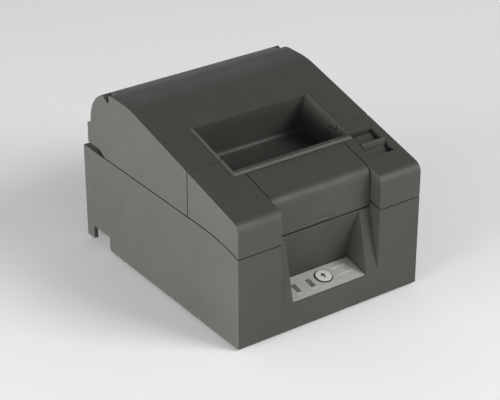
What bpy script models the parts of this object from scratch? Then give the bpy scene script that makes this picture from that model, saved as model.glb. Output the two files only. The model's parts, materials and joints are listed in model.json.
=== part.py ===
"""Receipt printer for 80 mm paper: casings, clamshell cover, print mechanism and controls.

X runs to the printer's right, Y to its rear and Z up, in metres. The origin is on the
table, under the middle of the case. Each sub-part is one named object.
"""

import math

import bpy
import bmesh
from mathutils import Matrix, Vector

for old in list(bpy.data.objects):
    bpy.data.objects.remove(old, do_unlink=True)

MM = 0.001

# Overall sizes and the fits between pieces
WIDTH = 145 * MM
DEPTH = 185 * MM
HEIGHT = 122 * MM
CASE_WALL = 2.5 * MM
INNER_WALL = 2.0 * MM
SEAM = 0.9 * MM  # seen between two casings
CLEAR = 0.3 * MM  # between pieces that touch
RUNNING = 0.1 * MM  # around a shaft or a pin, on the radius
PAST = 2.0 * MM  # how far a cutter runs past what it cuts

# Lower case
FOOT_PROUD = 1.5 * MM
BASE_TOP = 71.5 * MM
SWEEP_LENGTH = 41 * MM  # the parting line bends down over this length at the front
SWEEP_RADIUS = 155 * MM
TONGUE_RISE = 2.2 * MM
TONGUE_WALL = 1.2 * MM
SPLAY_HALF = 39.35 * MM  # half width of the splayed front panel and the flap's bay
SPLAY_FOOT = 21.8 * MM
SPLAY_DEPTH = 10.0 * MM
NICHE_HALF = 30 * MM  # the control panel's niche
NICHE_DEPTH = 21.9 * MM
NICHE_RISE = 4.2 * MM
BAY_LENGTH = 30 * MM  # cable bay under the rear
BAY_HEIGHT = 33 * MM
LEG_WALL = 3.0 * MM
NOTCH_FRONT = 155 * MM
NOTCH_REAR = 176 * MM
NOTCH_HEIGHT = 10 * MM
DECK_THICK = 2.5 * MM

# Upper casings
FRONT_DROP = 32.6 * MM  # how much lower the front edge is than the crown
TOP_SLOPE = math.radians(14.75)
CROWN_BLEND = 60 * MM
ARCH_RADIUS = 27.5 * MM
ARCH_SETBACK = 11.2 * MM
ARCH_DROP = 0.7 * MM  # top of the arch under the crown
REAR_SETBACK = 6.7 * MM
REAR_STEP_DROP = 30.8 * MM
NOSE_RADIUS = 7.0 * MM
COVER_SPLIT = 55.7 * MM
RELIEF_START = 157 * MM  # the cover's lower rear edge lifts from here on
RELIEF_RISE = 4.0 * MM
PIT_WIDE = 3.2 * MM  # wedge-shaped pits at the ends of the arch
PIT_DEEP = 3.4 * MM
PIT_LONG = 6.5 * MM
FLAP_SETBACK = 10.4 * MM
FLAP_REAR = 39.2 * MM
FLAP_SKIN = 2.2 * MM
FLAP_GAP = 0.8 * MM
RIM_FRONT = 40.0 * MM
RIM_RISE = 1.2 * MM
RIM_SIDE = 1.4 * MM  # how far the raised rim stands outside the pocket
RIM_WIDTH = 3.2 * MM
POCKET_HALF = 46 * MM
POCKET_BACK = 90 * MM
TROUGH_RISE = 16.6 * MM  # pocket floor's front edge above the platen's axis
TROUGH_FALL = 3.2 * MM
TAB_REAR = 63.4 * MM
TAB_DROP = 4.2 * MM
LEVER_WELL_WIDTH = 19.6 * MM
LEVER_WELL_FRONT = 19.4 * MM
LEVER_WELL_REAR = 44.0 * MM
LEVER_WELL_SIDE = 5.9 * MM  # from the case's right side

# Cover hinge
HINGE_RISE = 4.5 * MM
HINGE_SETBACK = 10.5 * MM
HINGE_PIN = 1.5 * MM
HINGE_EAR = 3.0 * MM
EAR_INSET = 14 * MM
EAR_THICK = 4.0 * MM

# Print mechanism
PAPER_HALF = 40 * MM
PAPER_LINE = 50.5 * MM  # where the paper rises, from the front
PLATEN_AXIS_Z = 65.5 * MM
PLATEN_RADIUS = 7.0 * MM
SHAFT_RADIUS = 2.5 * MM
BUSH_RADIUS = 4.0 * MM
PAPER_GAP = 0.5 * MM
HEAD_THICK = 0.9 * MM
PLATE_X = PAPER_HALF + 0.4 * MM  # inner faces of the two cheeks
PLATE_THICK = 1.0 * MM
ARM_THICK = 1.0 * MM
HEAD_PIVOT_Z = 50 * MM
ROLL_RADIUS = 41 * MM
BIN_WALL = 1.8 * MM
BIN_SETBACK = 55 * MM  # roll centre, from the rear

# Gears
FEED_MODULE = 0.6 * MM
PLATEN_TEETH = 24
IDLER_TEETH = 30
MOTOR_TEETH = 12
GEAR_WIDTH = 2.3 * MM
CUT_MODULE = 0.8 * MM
RACK_TEETH = 12
KNOB_TEETH = 14
CUT_MOTOR_TEETH = 9
BLADE_TRAVEL = 6.5 * MM

# Lever, button and switch
LEVER_AXIS = (50 * MM, 52 * MM)  # from the front, and height
LEVER_ARM_X = 50 * MM
LEVER_ARM = 3.0 * MM
BUTTON_RADIUS = 5.6 * MM
BUTTON_TRAVEL = 0.8 * MM
PANEL_THICK = 1.2 * MM
LIGHT_WIDTH = 2.9 * MM
LIGHT_LENGTH = 7.2 * MM

FRONT = -DEPTH / 2
REAR = DEPTH / 2
HALF = WIDTH / 2
CASE_BOTTOM = FOOT_PROUD
COVER_BOTTOM = BASE_TOP + SEAM
HINGE_Y = REAR - HINGE_SETBACK
HINGE_Z = BASE_TOP + HINGE_RISE
PLATEN_Y = FRONT + PAPER_LINE + PLATEN_RADIUS
BIN_Y = REAR - BIN_SETBACK
BIN_Z = BASE_TOP + 4 * MM
TILT = math.atan2(NICHE_RISE, NICHE_DEPTH)  # control panel's lean
EAR_X = HALF - EAR_INSET

# Sizes of single pieces
NICHE_FLOOR = 19.4 * MM  # control panel's front edge above the case's bottom edge
CONNECTOR_HALF = 56 * MM
POST = 8 * MM
SCREW_HOLE = 1.6 * MM
PLATE_TOP = CASE_BOTTOM + 2.2 * MM  # bottom plate's upper face
BOTTOM_SHEET = 1.0 * MM
FOOT_RADIUS = 6.5 * MM
FOOT_STEM = 2.2 * MM
CUTTER_RISE = 6.0 * MM  # moving blade above the top of the platen's axis, see blade_z
FLAP_PIN = 0.8 * MM
PLATE_LOW = PLATE_TOP + 4 * MM
PLATE_REAR = 84 * MM
MOTOR_ANGLE = math.radians(-42)
MOTOR_RADIUS = 14.5 * MM
HEAD_STUB = 1.2 * MM
LUG_REACH = 5.6 * MM  # in front of the pivot
SPRING_X = 26 * MM
SPRING_WIRE = 0.35 * MM
SHELF_HALF = 4 * MM
BLADE_THICK = 0.8 * MM
RACK_X = (22 * MM, 27 * MM)
KNOB_X = (28.5 * MM, 32.5 * MM)
PINION_FROM_FRONT = 28 * MM
BUTTON_X = 3.7 * MM
BUTTON_FROM_FRONT = 12.2 * MM
LIGHT_X = (-19.6 * MM, -8.0 * MM)
BOARD_Z = PLATE_TOP + 1.8 * MM
CONNECTOR_Z = 17 * MM


# ---------------------------------------------------------------- collections and finishes


def collection(name):
    found = bpy.data.collections.new(name)
    bpy.context.scene.collection.children.link(found)
    return found


PRINTER = collection("receipt_printer")
CUTTERS = collection("cutters")
CUTTERS.hide_render = True


def finish(name, colour, roughness, metallic=0.0):
    mat = bpy.data.materials.new(name)
    mat.use_nodes = True
    shader = mat.node_tree.nodes["Principled BSDF"]
    shader.inputs["Base Color"].default_value = (*colour, 1.0)
    shader.inputs["Roughness"].default_value = roughness
    shader.inputs["Metallic"].default_value = metallic
    mat.diffuse_color = (*colour, 1.0)
    return mat


CASE_GREY = finish("charcoal_casing", (0.085, 0.083, 0.076), 0.55)
PANEL_GREY = finish("panel_grey", (0.36, 0.355, 0.34), 0.4)
BUTTON_WHITE = finish("button_white", (0.80, 0.80, 0.77), 0.35)
LENS_SMOKE = finish("lens_smoke", (0.14, 0.14, 0.13), 0.2)
INNER_BLACK = finish("inner_black", (0.03, 0.03, 0.03), 0.6)
SHEET_STEEL = finish("zinc_sheet", (0.62, 0.63, 0.64), 0.35, 1.0)
BLADE_STEEL = finish("blade_steel", (0.70, 0.71, 0.72), 0.2, 1.0)
ALLOY = finish("head_alloy", (0.75, 0.75, 0.76), 0.4, 1.0)
PLATEN_RUBBER = finish("platen_rubber", (0.045, 0.045, 0.047), 0.8)
FOOT_RUBBER = finish("foot_rubber", (0.02, 0.02, 0.02), 0.9)
GEAR_WHITE = finish("gear_white", (0.72, 0.70, 0.64), 0.45)
KNOB_GREEN = finish("knob_green", (0.08, 0.30, 0.16), 0.45)
BOARD_GREEN = finish("board_green", (0.03, 0.15, 0.07), 0.4)
CERAMIC = finish("head_ceramic", (0.86, 0.84, 0.78), 0.3)


def place(obj, home):
    for other in list(obj.users_collection):
        other.objects.unlink(obj)
    home.objects.link(obj)


def node(obj, name, mat):
    """Make obj a sub-part of the printer, with its name and finish."""
    obj.name = name
    obj.data.name = name
    obj.data.materials.clear()
    obj.data.materials.append(mat)
    place(obj, PRINTER)
    return obj


# ---------------------------------------------------------------- shapes


def box(low, high):
    """An upright box between two corners."""
    centre = [(a + b) / 2 for a, b in zip(low, high)]
    bpy.ops.mesh.primitive_cube_add(size=1, location=centre)
    made = bpy.context.object
    made.scale = [b - a for a, b in zip(low, high)]
    bpy.ops.object.transform_apply(location=False, rotation=False, scale=True)
    return made


def rod(start, end, radius, sides=24):
    """A round bar between two points, smooth round its side."""
    start, end = Vector(start), Vector(end)
    run = end - start
    bpy.ops.mesh.primitive_cylinder_add(
        vertices=sides, radius=radius, depth=run.length, location=(start + end) / 2
    )
    made = bpy.context.object
    made.rotation_euler = run.to_track_quat("Z", "Y").to_euler()
    made.data.shade_smooth()
    made.data.set_sharp_from_angle(angle=math.radians(40))
    return made


def rod_x(low, high, y, z, radius, sides=24):
    return rod((low, y, z), (high, y, z), radius, sides)


SIDE_VIEW = Matrix(((0, 0, 1, 0), (1, 0, 0, 0), (0, 1, 0, 0), (0, 0, 0, 1)))


def solid_of(curve_object):
    """The closed mesh of a curve object, with its caps welded on."""
    bpy.context.view_layer.update()
    seen = curve_object.evaluated_get(bpy.context.evaluated_depsgraph_get())
    mesh = bpy.data.meshes.new_from_object(seen)
    shape = bmesh.new()
    shape.from_mesh(mesh)
    bmesh.ops.remove_doubles(shape, verts=shape.verts, dist=0.000002)
    bmesh.ops.recalc_face_normals(shape, faces=shape.faces)
    shape.to_mesh(mesh)
    shape.free()
    mesh.shade_flat()
    made = bpy.data.objects.new(curve_object.name, mesh)
    made.matrix_world = curve_object.matrix_world
    bpy.context.scene.collection.objects.link(made)
    bpy.data.objects.remove(curve_object, do_unlink=True)
    return made


def outline(points, thickness, placing):
    """A flat outline given thickness, then stood where placing says."""
    curve = bpy.data.curves.new("outline", "CURVE")
    curve.dimensions = "2D"
    curve.fill_mode = "BOTH"
    curve.extrude = thickness / 2
    spline = curve.splines.new("POLY")
    spline.points.add(len(points) - 1)
    for spot, (across, up) in zip(spline.points, points):
        spot.co = (across, up, 0, 1)
    spline.use_cyclic_u = True
    holder = bpy.data.objects.new("outline", curve)
    bpy.context.scene.collection.objects.link(holder)
    holder.matrix_world = placing
    return solid_of(holder)


def slab_x(points, low, high):
    """A side-view outline of (y, z) points, as thick as from low to high in X."""
    return outline(points, high - low, Matrix.Translation(((low + high) / 2, 0, 0)) @ SIDE_VIEW)


def slab_z(points, low, high):
    """A plan outline of (x, y) points, from height low to height high."""
    return outline(points, high - low, Matrix.Translation((0, 0, (low + high) / 2)))


def arc(centre, radius, start, end, steps):
    """Points of an arc between two angles in degrees, both ends included."""
    turn = [math.radians(start + (end - start) * i / steps) for i in range(steps + 1)]
    return [(centre[0] + radius * math.cos(a), centre[1] + radius * math.sin(a)) for a in turn]


def eased(corners, steps=5):
    """Corners of (across, up, radius) as points, with each radius drawn as an arc."""
    points = []
    for i, (ax, ay, radius) in enumerate(corners):
        spot = Vector((ax, ay))
        if radius <= 0:
            points.append((ax, ay))
            continue
        before = (Vector(corners[i - 1][:2]) - spot).normalized()
        after = (Vector(corners[(i + 1) % len(corners)][:2]) - spot).normalized()
        half = before.angle(after) / 2
        middle = spot + (before + after).normalized() * radius / math.sin(half)
        first = spot + before * radius / math.tan(half) - middle
        sweep = first.angle_signed(spot + after * radius / math.tan(half) - middle)
        for step in range(steps + 1):
            turned = first.copy()
            turned.rotate(Matrix.Rotation(-sweep * step / steps, 2))
            points.append(tuple(middle + turned))
    return points


def hidden(cutter):
    cutter.hide_render = True
    cutter.display_type = "WIRE"
    place(cutter, CUTTERS)


def combine(target, tool, operation):
    hidden(tool)
    step = target.modifiers.new(operation.lower(), "BOOLEAN")
    step.operation = operation
    step.object = tool
    step.solver = "EXACT"


def cut(target, *tools):
    for tool in tools:
        combine(target, tool, "DIFFERENCE")


def join(target, *tools):
    for tool in tools:
        combine(target, tool, "UNION")


def pivot(name, spot, *moving):
    """An empty on a joint's axis that the moving pieces hang from, each with its origin there."""
    empty = bpy.data.objects.new(name, None)
    empty.location = spot
    empty.empty_display_size = 10 * MM
    PRINTER.objects.link(empty)
    bpy.context.view_layer.update()
    for piece in moving:
        world = piece.matrix_world.copy()
        piece.data.transform(Matrix.Translation(-Vector(spot)) @ world)
        piece.parent = empty
        piece.location = (0, 0, 0)
        piece.rotation_euler = (0, 0, 0)
    return empty


def gear_points(teeth, module, phase=0.0):
    """A spur gear's outline: straight-sided teeth, with a little play at the flanks."""
    tip = module * (teeth / 2 + 0.9)
    root = module * (teeth / 2 - 1.15)
    pitch = 2 * math.pi / teeth
    play = 0.04
    widths = [(root, 0.31), (tip, 0.13 - play / 2), (tip, -0.13 + play / 2), (root, -0.31)]
    points = []
    for tooth in range(teeth):
        middle = phase + tooth * pitch
        for radius, share in widths:
            angle = middle - share * pitch
            points.append((radius * math.cos(angle), radius * math.sin(angle)))
    return points


def gear(teeth, module, low, high, y, z, bore, phase=0.0):
    """A spur gear across X, with a bore for its shaft."""
    ring = [(y + py, z + pz) for py, pz in gear_points(teeth, module, phase)]
    made = slab_x(ring, low, high)
    if bore:
        cut(made, rod_x(low - PAST, high + PAST, y, z, bore, 20))
    return made


def coil(name, start, end, radius, wire, turns, mat):
    """A helical spring from start to end, as one long wire."""
    start, end = Vector(start), Vector(end)
    frame = (end - start).to_track_quat("Z", "Y")
    count = turns * 10
    curve = bpy.data.curves.new(name, "CURVE")
    curve.dimensions = "3D"
    curve.bevel_depth = wire
    curve.bevel_resolution = 1
    curve.use_fill_caps = True
    spline = curve.splines.new("POLY")
    spline.points.add(count)
    for i, spot in enumerate(spline.points):
        angle = 2 * math.pi * turns * i / count
        along = (end - start).length * i / count
        ring = frame @ Vector((radius * math.cos(angle), radius * math.sin(angle), along))
        spot.co = (*(start + ring), 1)
    holder = bpy.data.objects.new(name, curve)
    bpy.context.scene.collection.objects.link(holder)
    made = solid_of(holder)
    made.data.shade_smooth()
    return node(made, name, mat)


# ---------------------------------------------------------------- shared outlines


def slope_z(y):
    """Height of the sloped top at a place along Y."""
    return HEIGHT - FRONT_DROP + (y - FRONT) * math.tan(TOP_SLOPE)


def on_slope(y, lift=0.0):
    """A side-view point that far above the sloped top, square to it."""
    return (y - lift * math.sin(TOP_SLOPE), slope_z(y) + lift * math.cos(TOP_SLOPE))


def parting_z(y):
    """Top edge of the lower case's sides: level, then bending down at the front."""
    ahead = max(0.0, FRONT + SWEEP_LENGTH - y)
    return BASE_TOP - (SWEEP_RADIUS - math.sqrt(SWEEP_RADIUS**2 - ahead**2))


def parting_line(lift, start, end, steps=7):
    """Points along the parting line from y = start to y = end."""
    bend = FRONT + SWEEP_LENGTH
    spots = [start + (bend - start) * i / steps for i in range(steps + 1)] if start < bend else [start]
    return [(y, parting_z(y) + lift) for y in spots] + [(end, parting_z(end) + lift)]


def splay_y(z):
    """The splayed front panel's face, from the front plane back to its top."""
    return FRONT + (z - SPLAY_FOOT) * SPLAY_DEPTH / (bay_floor() - SPLAY_FOOT)


def bay_floor():
    """Top of the lower case under the flap."""
    return parting_z(FRONT) - 1.0 * MM


def niche_back(z):
    """The niche's overhanging back wall, which leans forward as it rises."""
    low = CASE_BOTTOM + NICHE_FLOOR + NICHE_RISE
    high = bay_floor() - 0.5 * MM
    share = (z - low) / (high - low)
    top = splay_y(high) + 0.2 * MM
    return FRONT + NICHE_DEPTH + share * (top - FRONT - NICHE_DEPTH)


def panel_z(y):
    """The control panel's surface."""
    return CASE_BOTTOM + NICHE_FLOOR + (y - FRONT) * math.tan(TILT)


# ---------------------------------------------------------------- lower case


def base_outside():
    top = parting_line(0, FRONT, REAR)
    low = [(FRONT, CASE_BOTTOM), (REAR, CASE_BOTTOM)]
    return slab_x(low + top[::-1], -HALF, HALF)


def base_case():
    case = base_outside()
    inner = HALF - CASE_WALL
    tongue_x = inner - CLEAR
    y0 = FRONT + CASE_WALL + CLEAR
    deck_front = REAR - BAY_LENGTH - CASE_WALL
    ledge = parting_line(TONGUE_RISE, y0, deck_front)
    foot = [(y0, CASE_BOTTOM + PAST), (deck_front, CASE_BOTTOM + PAST)]
    join(case, slab_x(foot + ledge[::-1], -tongue_x, tongue_x))
    top_inner = tongue_x - TONGUE_WALL
    high = HEIGHT
    panel_under = NICHE_DEPTH + INNER_WALL
    back_row = FRONT + panel_under
    ledge_low = parting_z(FRONT) - 4 * MM
    # the well of the case, open below and above
    cut(case, box((-inner, back_row, -PAST), (inner, deck_front, ledge_low)))
    cut(case, box((-top_inner, back_row, ledge_low - PAST), (top_inner, deck_front + PAST, high)))
    beside = SPLAY_HALF + INNER_WALL
    for side in (-1, 1):
        near, far = sorted((side * beside, side * inner))
        cut(case, box((near, FRONT + CASE_WALL, -PAST), (far, back_row + PAST, ledge_low)))
        near, far = sorted((side * beside, side * top_inner))
        front_in = y0 + TONGUE_WALL
        cut(case, box((near, front_in, ledge_low - PAST), (far, back_row + PAST, high)))
    # behind the splayed panel, beside the niche
    lean = INNER_WALL + 0.2 * MM
    low_z = SPLAY_FOOT - 4 * MM
    behind = [
        (FRONT + CASE_WALL, -PAST),
        (FRONT + panel_under + PAST, -PAST),
        (FRONT + panel_under + PAST, high),
        (splay_y(bay_floor()) + lean, high),
        (splay_y(bay_floor()) + lean, bay_floor()),
        (FRONT + CASE_WALL, low_z),
    ]
    for side in (-1, 1):
        near, far = sorted((side * (NICHE_HALF + INNER_WALL), side * (beside + CLEAR)))
        cut(case, slab_x(behind, near, far))
    # behind the niche's leaning back wall, and under its floor
    floor_z = CASE_BOTTOM + NICHE_FLOOR + NICHE_RISE
    low_back = FRONT + NICHE_DEPTH + lean
    niche_rear = [
        (low_back, -PAST),
        (back_row + PAST, -PAST),
        (back_row + PAST, high),
        (niche_back(bay_floor()) + lean, high),
        (niche_back(bay_floor()) + lean, bay_floor()),
        (low_back, floor_z),
    ]
    reach = NICHE_HALF + INNER_WALL + CLEAR
    cut(case, slab_x(niche_rear, -reach, reach))
    drop = PANEL_THICK + CLEAR + INNER_WALL
    under = [
        (FRONT + CASE_WALL, -PAST),
        (low_back + PAST, -PAST),
        (low_back + PAST, panel_z(low_back) - drop),
        (FRONT + CASE_WALL, panel_z(FRONT + CASE_WALL) - drop),
    ]
    cut(case, slab_x(under, -reach, reach))
    cut_front_faces(case)
    cut_rear(case)
    add_ears(case)
    add_posts(case)
    return node(case, "base_case", CASE_GREY)


def cut_front_faces(case):
    """The splayed centre of the front, the niche in it, and the seat of the control panel."""
    over = HEIGHT
    ahead = FRONT - 3 * MM
    toe = SPLAY_FOOT - (FRONT - ahead) / (splay_y(SPLAY_FOOT + 1) - FRONT)
    splay = [(ahead, toe), (splay_y(over), over), (ahead, over)]
    cut(case, slab_x(splay, -SPLAY_HALF, SPLAY_HALF))
    behind = FRONT + SWEEP_LENGTH
    # the tongue stops short of the front cover's inner walls
    beside = SPLAY_HALF + INNER_WALL + CLEAR
    rear = FRONT + FLAP_SETBACK + FLAP_SKIN + 2.5 * MM
    above = parting_line(-0.1 * MM, FRONT + CASE_WALL, rear, 3) + [(rear, over), (FRONT + CASE_WALL, over)]
    cut(case, slab_x(above, -beside, beside))
    cut(case, box((-SPLAY_HALF, ahead, bay_floor()), (SPLAY_HALF, behind, over)))
    high = bay_floor() - 0.5 * MM
    back = FRONT + NICHE_DEPTH
    niche = [(ahead, panel_z(ahead)), (back, panel_z(back)), (niche_back(high), high), (ahead, high)]
    cut(case, slab_x(niche, -NICHE_HALF, NICHE_HALF))
    seat = PANEL_THICK + CLEAR
    fore = FRONT + 0.6 * MM
    pocket = [(fore, panel_z(fore) - seat), (back, panel_z(back) - seat)]
    pocket += [(back, panel_z(back) + PAST), (fore, panel_z(fore) + PAST)]
    cut(case, slab_x(pocket, -NICHE_HALF, NICHE_HALF))
    # passage for the button, the light pipes and their board
    middle = (FRONT + back) / 2
    high = panel_z(back) - seat + 0.5 * MM
    cut(case, box((-24 * MM, middle - 7.6 * MM, -PAST), (11 * MM, middle + 7.6 * MM, high)))


def cut_rear(case):
    """The cable bay, its side notches, and the room under and through the rear deck."""
    inner = HALF - CASE_WALL
    bay_front = REAR - BAY_LENGTH
    roof = CASE_BOTTOM + BAY_HEIGHT
    deck = BASE_TOP - DECK_THICK
    wall_in = REAR - CASE_WALL
    front_in = bay_front - CASE_WALL - PAST
    cut(case, box((-inner, front_in, roof + CASE_WALL), (inner, wall_in, deck)))
    leg = HALF - LEG_WALL
    cut(case, box((-leg, bay_front, -PAST), (leg, REAR + PAST, roof)))
    notch = [
        (FRONT + NOTCH_FRONT - 1.5 * MM, -PAST),
        (FRONT + NOTCH_REAR, -PAST),
        (FRONT + NOTCH_REAR, CASE_BOTTOM + NOTCH_HEIGHT),
        (FRONT + NOTCH_FRONT, CASE_BOTTOM + NOTCH_HEIGHT),
        (FRONT + NOTCH_FRONT, CASE_BOTTOM + 3 * MM),
    ]
    cut(case, slab_x(notch, -HALF - PAST, HALF + PAST))
    # the roll bin hangs through the deck
    bin_half = PAPER_HALF + BIN_WALL + 2.4 * MM
    bin_rear = BIN_Y + ROLL_RADIUS + BIN_WALL + 1.0 * MM
    cut(case, box((-bin_half, front_in, deck - PAST), (bin_half, bin_rear, BASE_TOP + PAST)))
    # window for the connector panel
    cut(case, box((-CONNECTOR_HALF, bay_front - CASE_WALL - PAST, CASE_BOTTOM + 5 * MM),
                  (CONNECTOR_HALF, bay_front + PAST, CASE_BOTTOM + 27 * MM)))


def add_ears(case):
    """Two ears that stand up from the rear deck and hold the cover's hinge pins."""
    for side in (-1, 1):
        near, far = sorted((side * EAR_X, side * (EAR_X + EAR_THICK)))
        round_top = arc((HINGE_Y, HINGE_Z), HINGE_EAR, 0, 180, 8)
        foot = [(HINGE_Y - HINGE_EAR, BASE_TOP - 1 * MM), (HINGE_Y + HINGE_EAR, BASE_TOP - 1 * MM)]
        join(case, slab_x(foot + round_top, near, far))
        cut(case, rod_x(near - PAST, far + PAST, HINGE_Y, HINGE_Z, HINGE_PIN + RUNNING, 20))


def post_places():
    """Where the four posts for the bottom plate's screws stand."""
    inset = HALF - CASE_WALL - POST / 2 + 0.4 * MM
    rows = (FRONT + 30 * MM, REAR - BAY_LENGTH - CASE_WALL - POST / 2)
    return [(side * inset, y) for side in (-1, 1) for y in rows]


def add_posts(case):
    for x, y in post_places():
        reach = POST / 2
        join(case, box((x - reach, y - reach, PLATE_TOP + CLEAR), (x + reach, y + reach, 30 * MM)))
        cut(case, rod((x, y, -PAST), (x, y, 20 * MM), SCREW_HOLE, 16))


def bottom_plate():
    half = HALF - CASE_WALL - CLEAR
    low, high = FRONT + CASE_WALL + CLEAR, REAR - BAY_LENGTH - CASE_WALL - CLEAR
    plate = box((-half, low, PLATE_TOP - BOTTOM_SHEET), (half, high, PLATE_TOP))
    for x, y in post_places():
        cut(plate, rod((x, y, -PAST), (x, y, PLATE_TOP + PAST), SCREW_HOLE, 16))
    for x, y in foot_places():
        cut(plate, rod((x, y, -PAST), (x, y, PLATE_TOP + PAST), FOOT_STEM + CLEAR, 16))
    return node(plate, "bottom_plate", SHEET_STEEL)


def foot_places():
    inset = HALF - 14 * MM
    rows = (FRONT + 14 * MM, REAR - BAY_LENGTH - CASE_WALL - 12 * MM)
    return [(side * inset, y) for side in (-1, 1) for y in rows]


def turned(profile, spot, sides=24):
    """A turned piece: a profile of (radius, height) points, screwed round Z."""
    mesh = bpy.data.meshes.new("turned")
    made = bpy.data.objects.new("turned", mesh)
    shape = bmesh.new()
    verts = [shape.verts.new((radius, 0, height)) for radius, height in profile]
    for a, b in zip(verts, verts[1:]):
        shape.edges.new((a, b))
    shape.to_mesh(mesh)
    shape.free()
    bpy.context.scene.collection.objects.link(made)
    made.location = spot
    screw = made.modifiers.new("turn", "SCREW")
    screw.steps = sides
    screw.render_steps = sides
    screw.use_merge_vertices = True
    screw.merge_threshold = 0.00001
    screw.use_smooth_shade = True
    return made


def rubber_foot(name, x, y):
    """A round pad under the plate, held by a stem and a bead through its hole."""
    under = PLATE_TOP - BOTTOM_SHEET - CLEAR
    above = PLATE_TOP + CLEAR
    profile = [
        (0, above + 1.4 * MM),
        (FOOT_STEM, above + 1.4 * MM),
        (FOOT_STEM + 0.9 * MM, above + 0.7 * MM),
        (FOOT_STEM + 0.9 * MM, above),
        (FOOT_STEM, above),
        (FOOT_STEM, under),
        (FOOT_RADIUS, under),
        (FOOT_RADIUS, 0.5 * MM),
        (FOOT_RADIUS - 0.5 * MM, 0),
        (0, 0),
    ]
    return node(turned(profile, (x, y, 0), 20), name, FOOT_RUBBER)


def bottom_screw(name, x, y):
    """A pan-head screw up through the plate into its post."""
    under = PLATE_TOP - BOTTOM_SHEET - CLEAR
    profile = [
        (0, 17 * MM),
        (SCREW_HOLE - CLEAR, 16.2 * MM),
        (SCREW_HOLE - CLEAR, under),
        (2.7 * MM, under),
        (2.7 * MM, under - 0.7 * MM),
        (2.2 * MM, under - 1.1 * MM),
        (0, under - 1.1 * MM),
    ]
    return node(turned(profile, (x, y, 0), 16), name, BLADE_STEEL)


# ---------------------------------------------------------------- front cover and flap


def front_cover():
    """The fixed upper front: two strips, the bar behind the flap and the pocket's front."""
    rear = FRONT + COVER_SPLIT - SEAM / 2
    corner = slope_z(FRONT)
    under = parting_line(SEAM, FRONT, rear)
    below = [(y, z, 0) for y, z in under]
    outer = eased([(FRONT, corner, NOSE_RADIUS)] + below + [(rear, slope_z(rear), 0)], 6)
    cover = slab_x(outer, -HALF, HALF)
    inner = HALF - CASE_WALL
    y0 = FRONT + CASE_WALL
    skin = CASE_WALL / math.cos(TOP_SLOPE)
    room = [
        (y0, slope_z(y0) - skin, max(NOSE_RADIUS - CASE_WALL, 0.5 * MM)),
        (y0, COVER_BOTTOM / 2, 0),
        (rear + PAST, COVER_BOTTOM / 2, 0),
        (rear + PAST, slope_z(rear + PAST) - skin, 0),
    ]
    strip_in = SPLAY_HALF + INNER_WALL
    for side in (-1, 1):
        near, far = sorted((side * strip_in, side * inner))
        cut(cover, slab_x(eased(room, 5), near, far))
    # the flap's bay, open to the front, and the room for the cutter under it
    bay = [
        (FRONT - PAST, COVER_BOTTOM / 2),
        (FRONT + RIM_FRONT, COVER_BOTTOM / 2),
        (FRONT + RIM_FRONT, HEIGHT),
        (FRONT - PAST, HEIGHT),
    ]
    cut(cover, slab_x(bay, -SPLAY_HALF, SPLAY_HALF))
    ledge = PLATEN_AXIS_Z + CUTTER_RISE + 6.5 * MM
    rest = FRONT + FLAP_SETBACK + FLAP_SKIN + 1.5 * MM
    cut(cover, box((-strip_in - CLEAR, rest, COVER_BOTTOM / 2), (strip_in + CLEAR, rear + PAST, ledge)))
    add_rim(cover)
    bar_rear = FRONT + RIM_FRONT + RIM_WIDTH
    cut(cover, box((-POCKET_HALF, bar_rear, COVER_BOTTOM / 2), (POCKET_HALF, rear + PAST, HEIGHT)))
    bar_low = slope_z(FRONT + RIM_FRONT) - 7 * MM
    fore = FRONT + RIM_FRONT - PAST
    cut(cover, box((-POCKET_HALF, fore, COVER_BOTTOM / 2), (POCKET_HALF, bar_rear + PAST, bar_low)))
    add_tabs(cover)
    cut_lever_well(cover)
    hinge_y, hinge_z = flap_hinge()
    reach = SPLAY_HALF + 1.6 * MM
    cut(cover, rod_x(-reach, reach, hinge_y, hinge_z, FLAP_PIN + RUNNING, 12))
    return node(cover, "front_cover", CASE_GREY)


def along_slope(x, y):
    """A frame lying on the sloped top: local x across, local y square to it, local z down it."""
    lean = Matrix.Rotation(math.pi / 2 + TOP_SLOPE, 4, "X")
    return Matrix.Translation((x, y, slope_z(y))) @ lean


def rim_block(y_low, y_high):
    """The raised rim beside and before the pocket, chamfered along both outer sides."""
    outer = POCKET_HALF + RIM_SIDE
    section = [(-outer, -1 * MM), (outer, -1 * MM), (outer, 0.1 * MM), (outer - RIM_RISE, RIM_RISE)]
    section += [(-outer + RIM_RISE, RIM_RISE), (-outer, 0.1 * MM)]
    length = (y_high - y_low) / math.cos(TOP_SLOPE)
    return outline(section, length, along_slope(0, (y_low + y_high) / 2))


def add_rim(cover):
    """The rim's front bar, chamfered toward the flap, and its two sides back to the split."""
    front = FRONT + RIM_FRONT
    rear = FRONT + COVER_SPLIT - SEAM / 2
    block = rim_block(front - PAST, rear + PAST)
    low = slope_z(front) - 3 * MM
    ahead = [(front - 4 * PAST, low), (front, low), on_slope(front, 0)]
    ahead += [on_slope(front + RIM_RISE, RIM_RISE), on_slope(front + RIM_RISE + PAST, RIM_RISE + PAST)]
    ahead += [(front - 4 * PAST, HEIGHT)]
    across = POCKET_HALF + 2 * PAST
    cut(block, slab_x(ahead, -across, across))
    cut(block, box((-across, rear, 0), (across, rear + 3 * PAST, HEIGHT + PAST)))
    join(cover, block)


def tab_outline():
    """The front cover's inner side wall, which reaches back below the paper cover's edge."""
    front = FRONT + RIM_FRONT
    split = FRONT + COVER_SPLIT - SEAM / 2
    tab = FRONT + TAB_REAR
    low = PLATEN_AXIS_Z + TROUGH_RISE - 1.5 * MM
    return [
        (front, low),
        (tab, low),
        (tab, slope_z(split) - TAB_DROP),
        (split, slope_z(split) - TAB_DROP),
        (split, slope_z(split) - 0.8 * MM),
        (front, slope_z(front) - 0.8 * MM),
    ]


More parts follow.
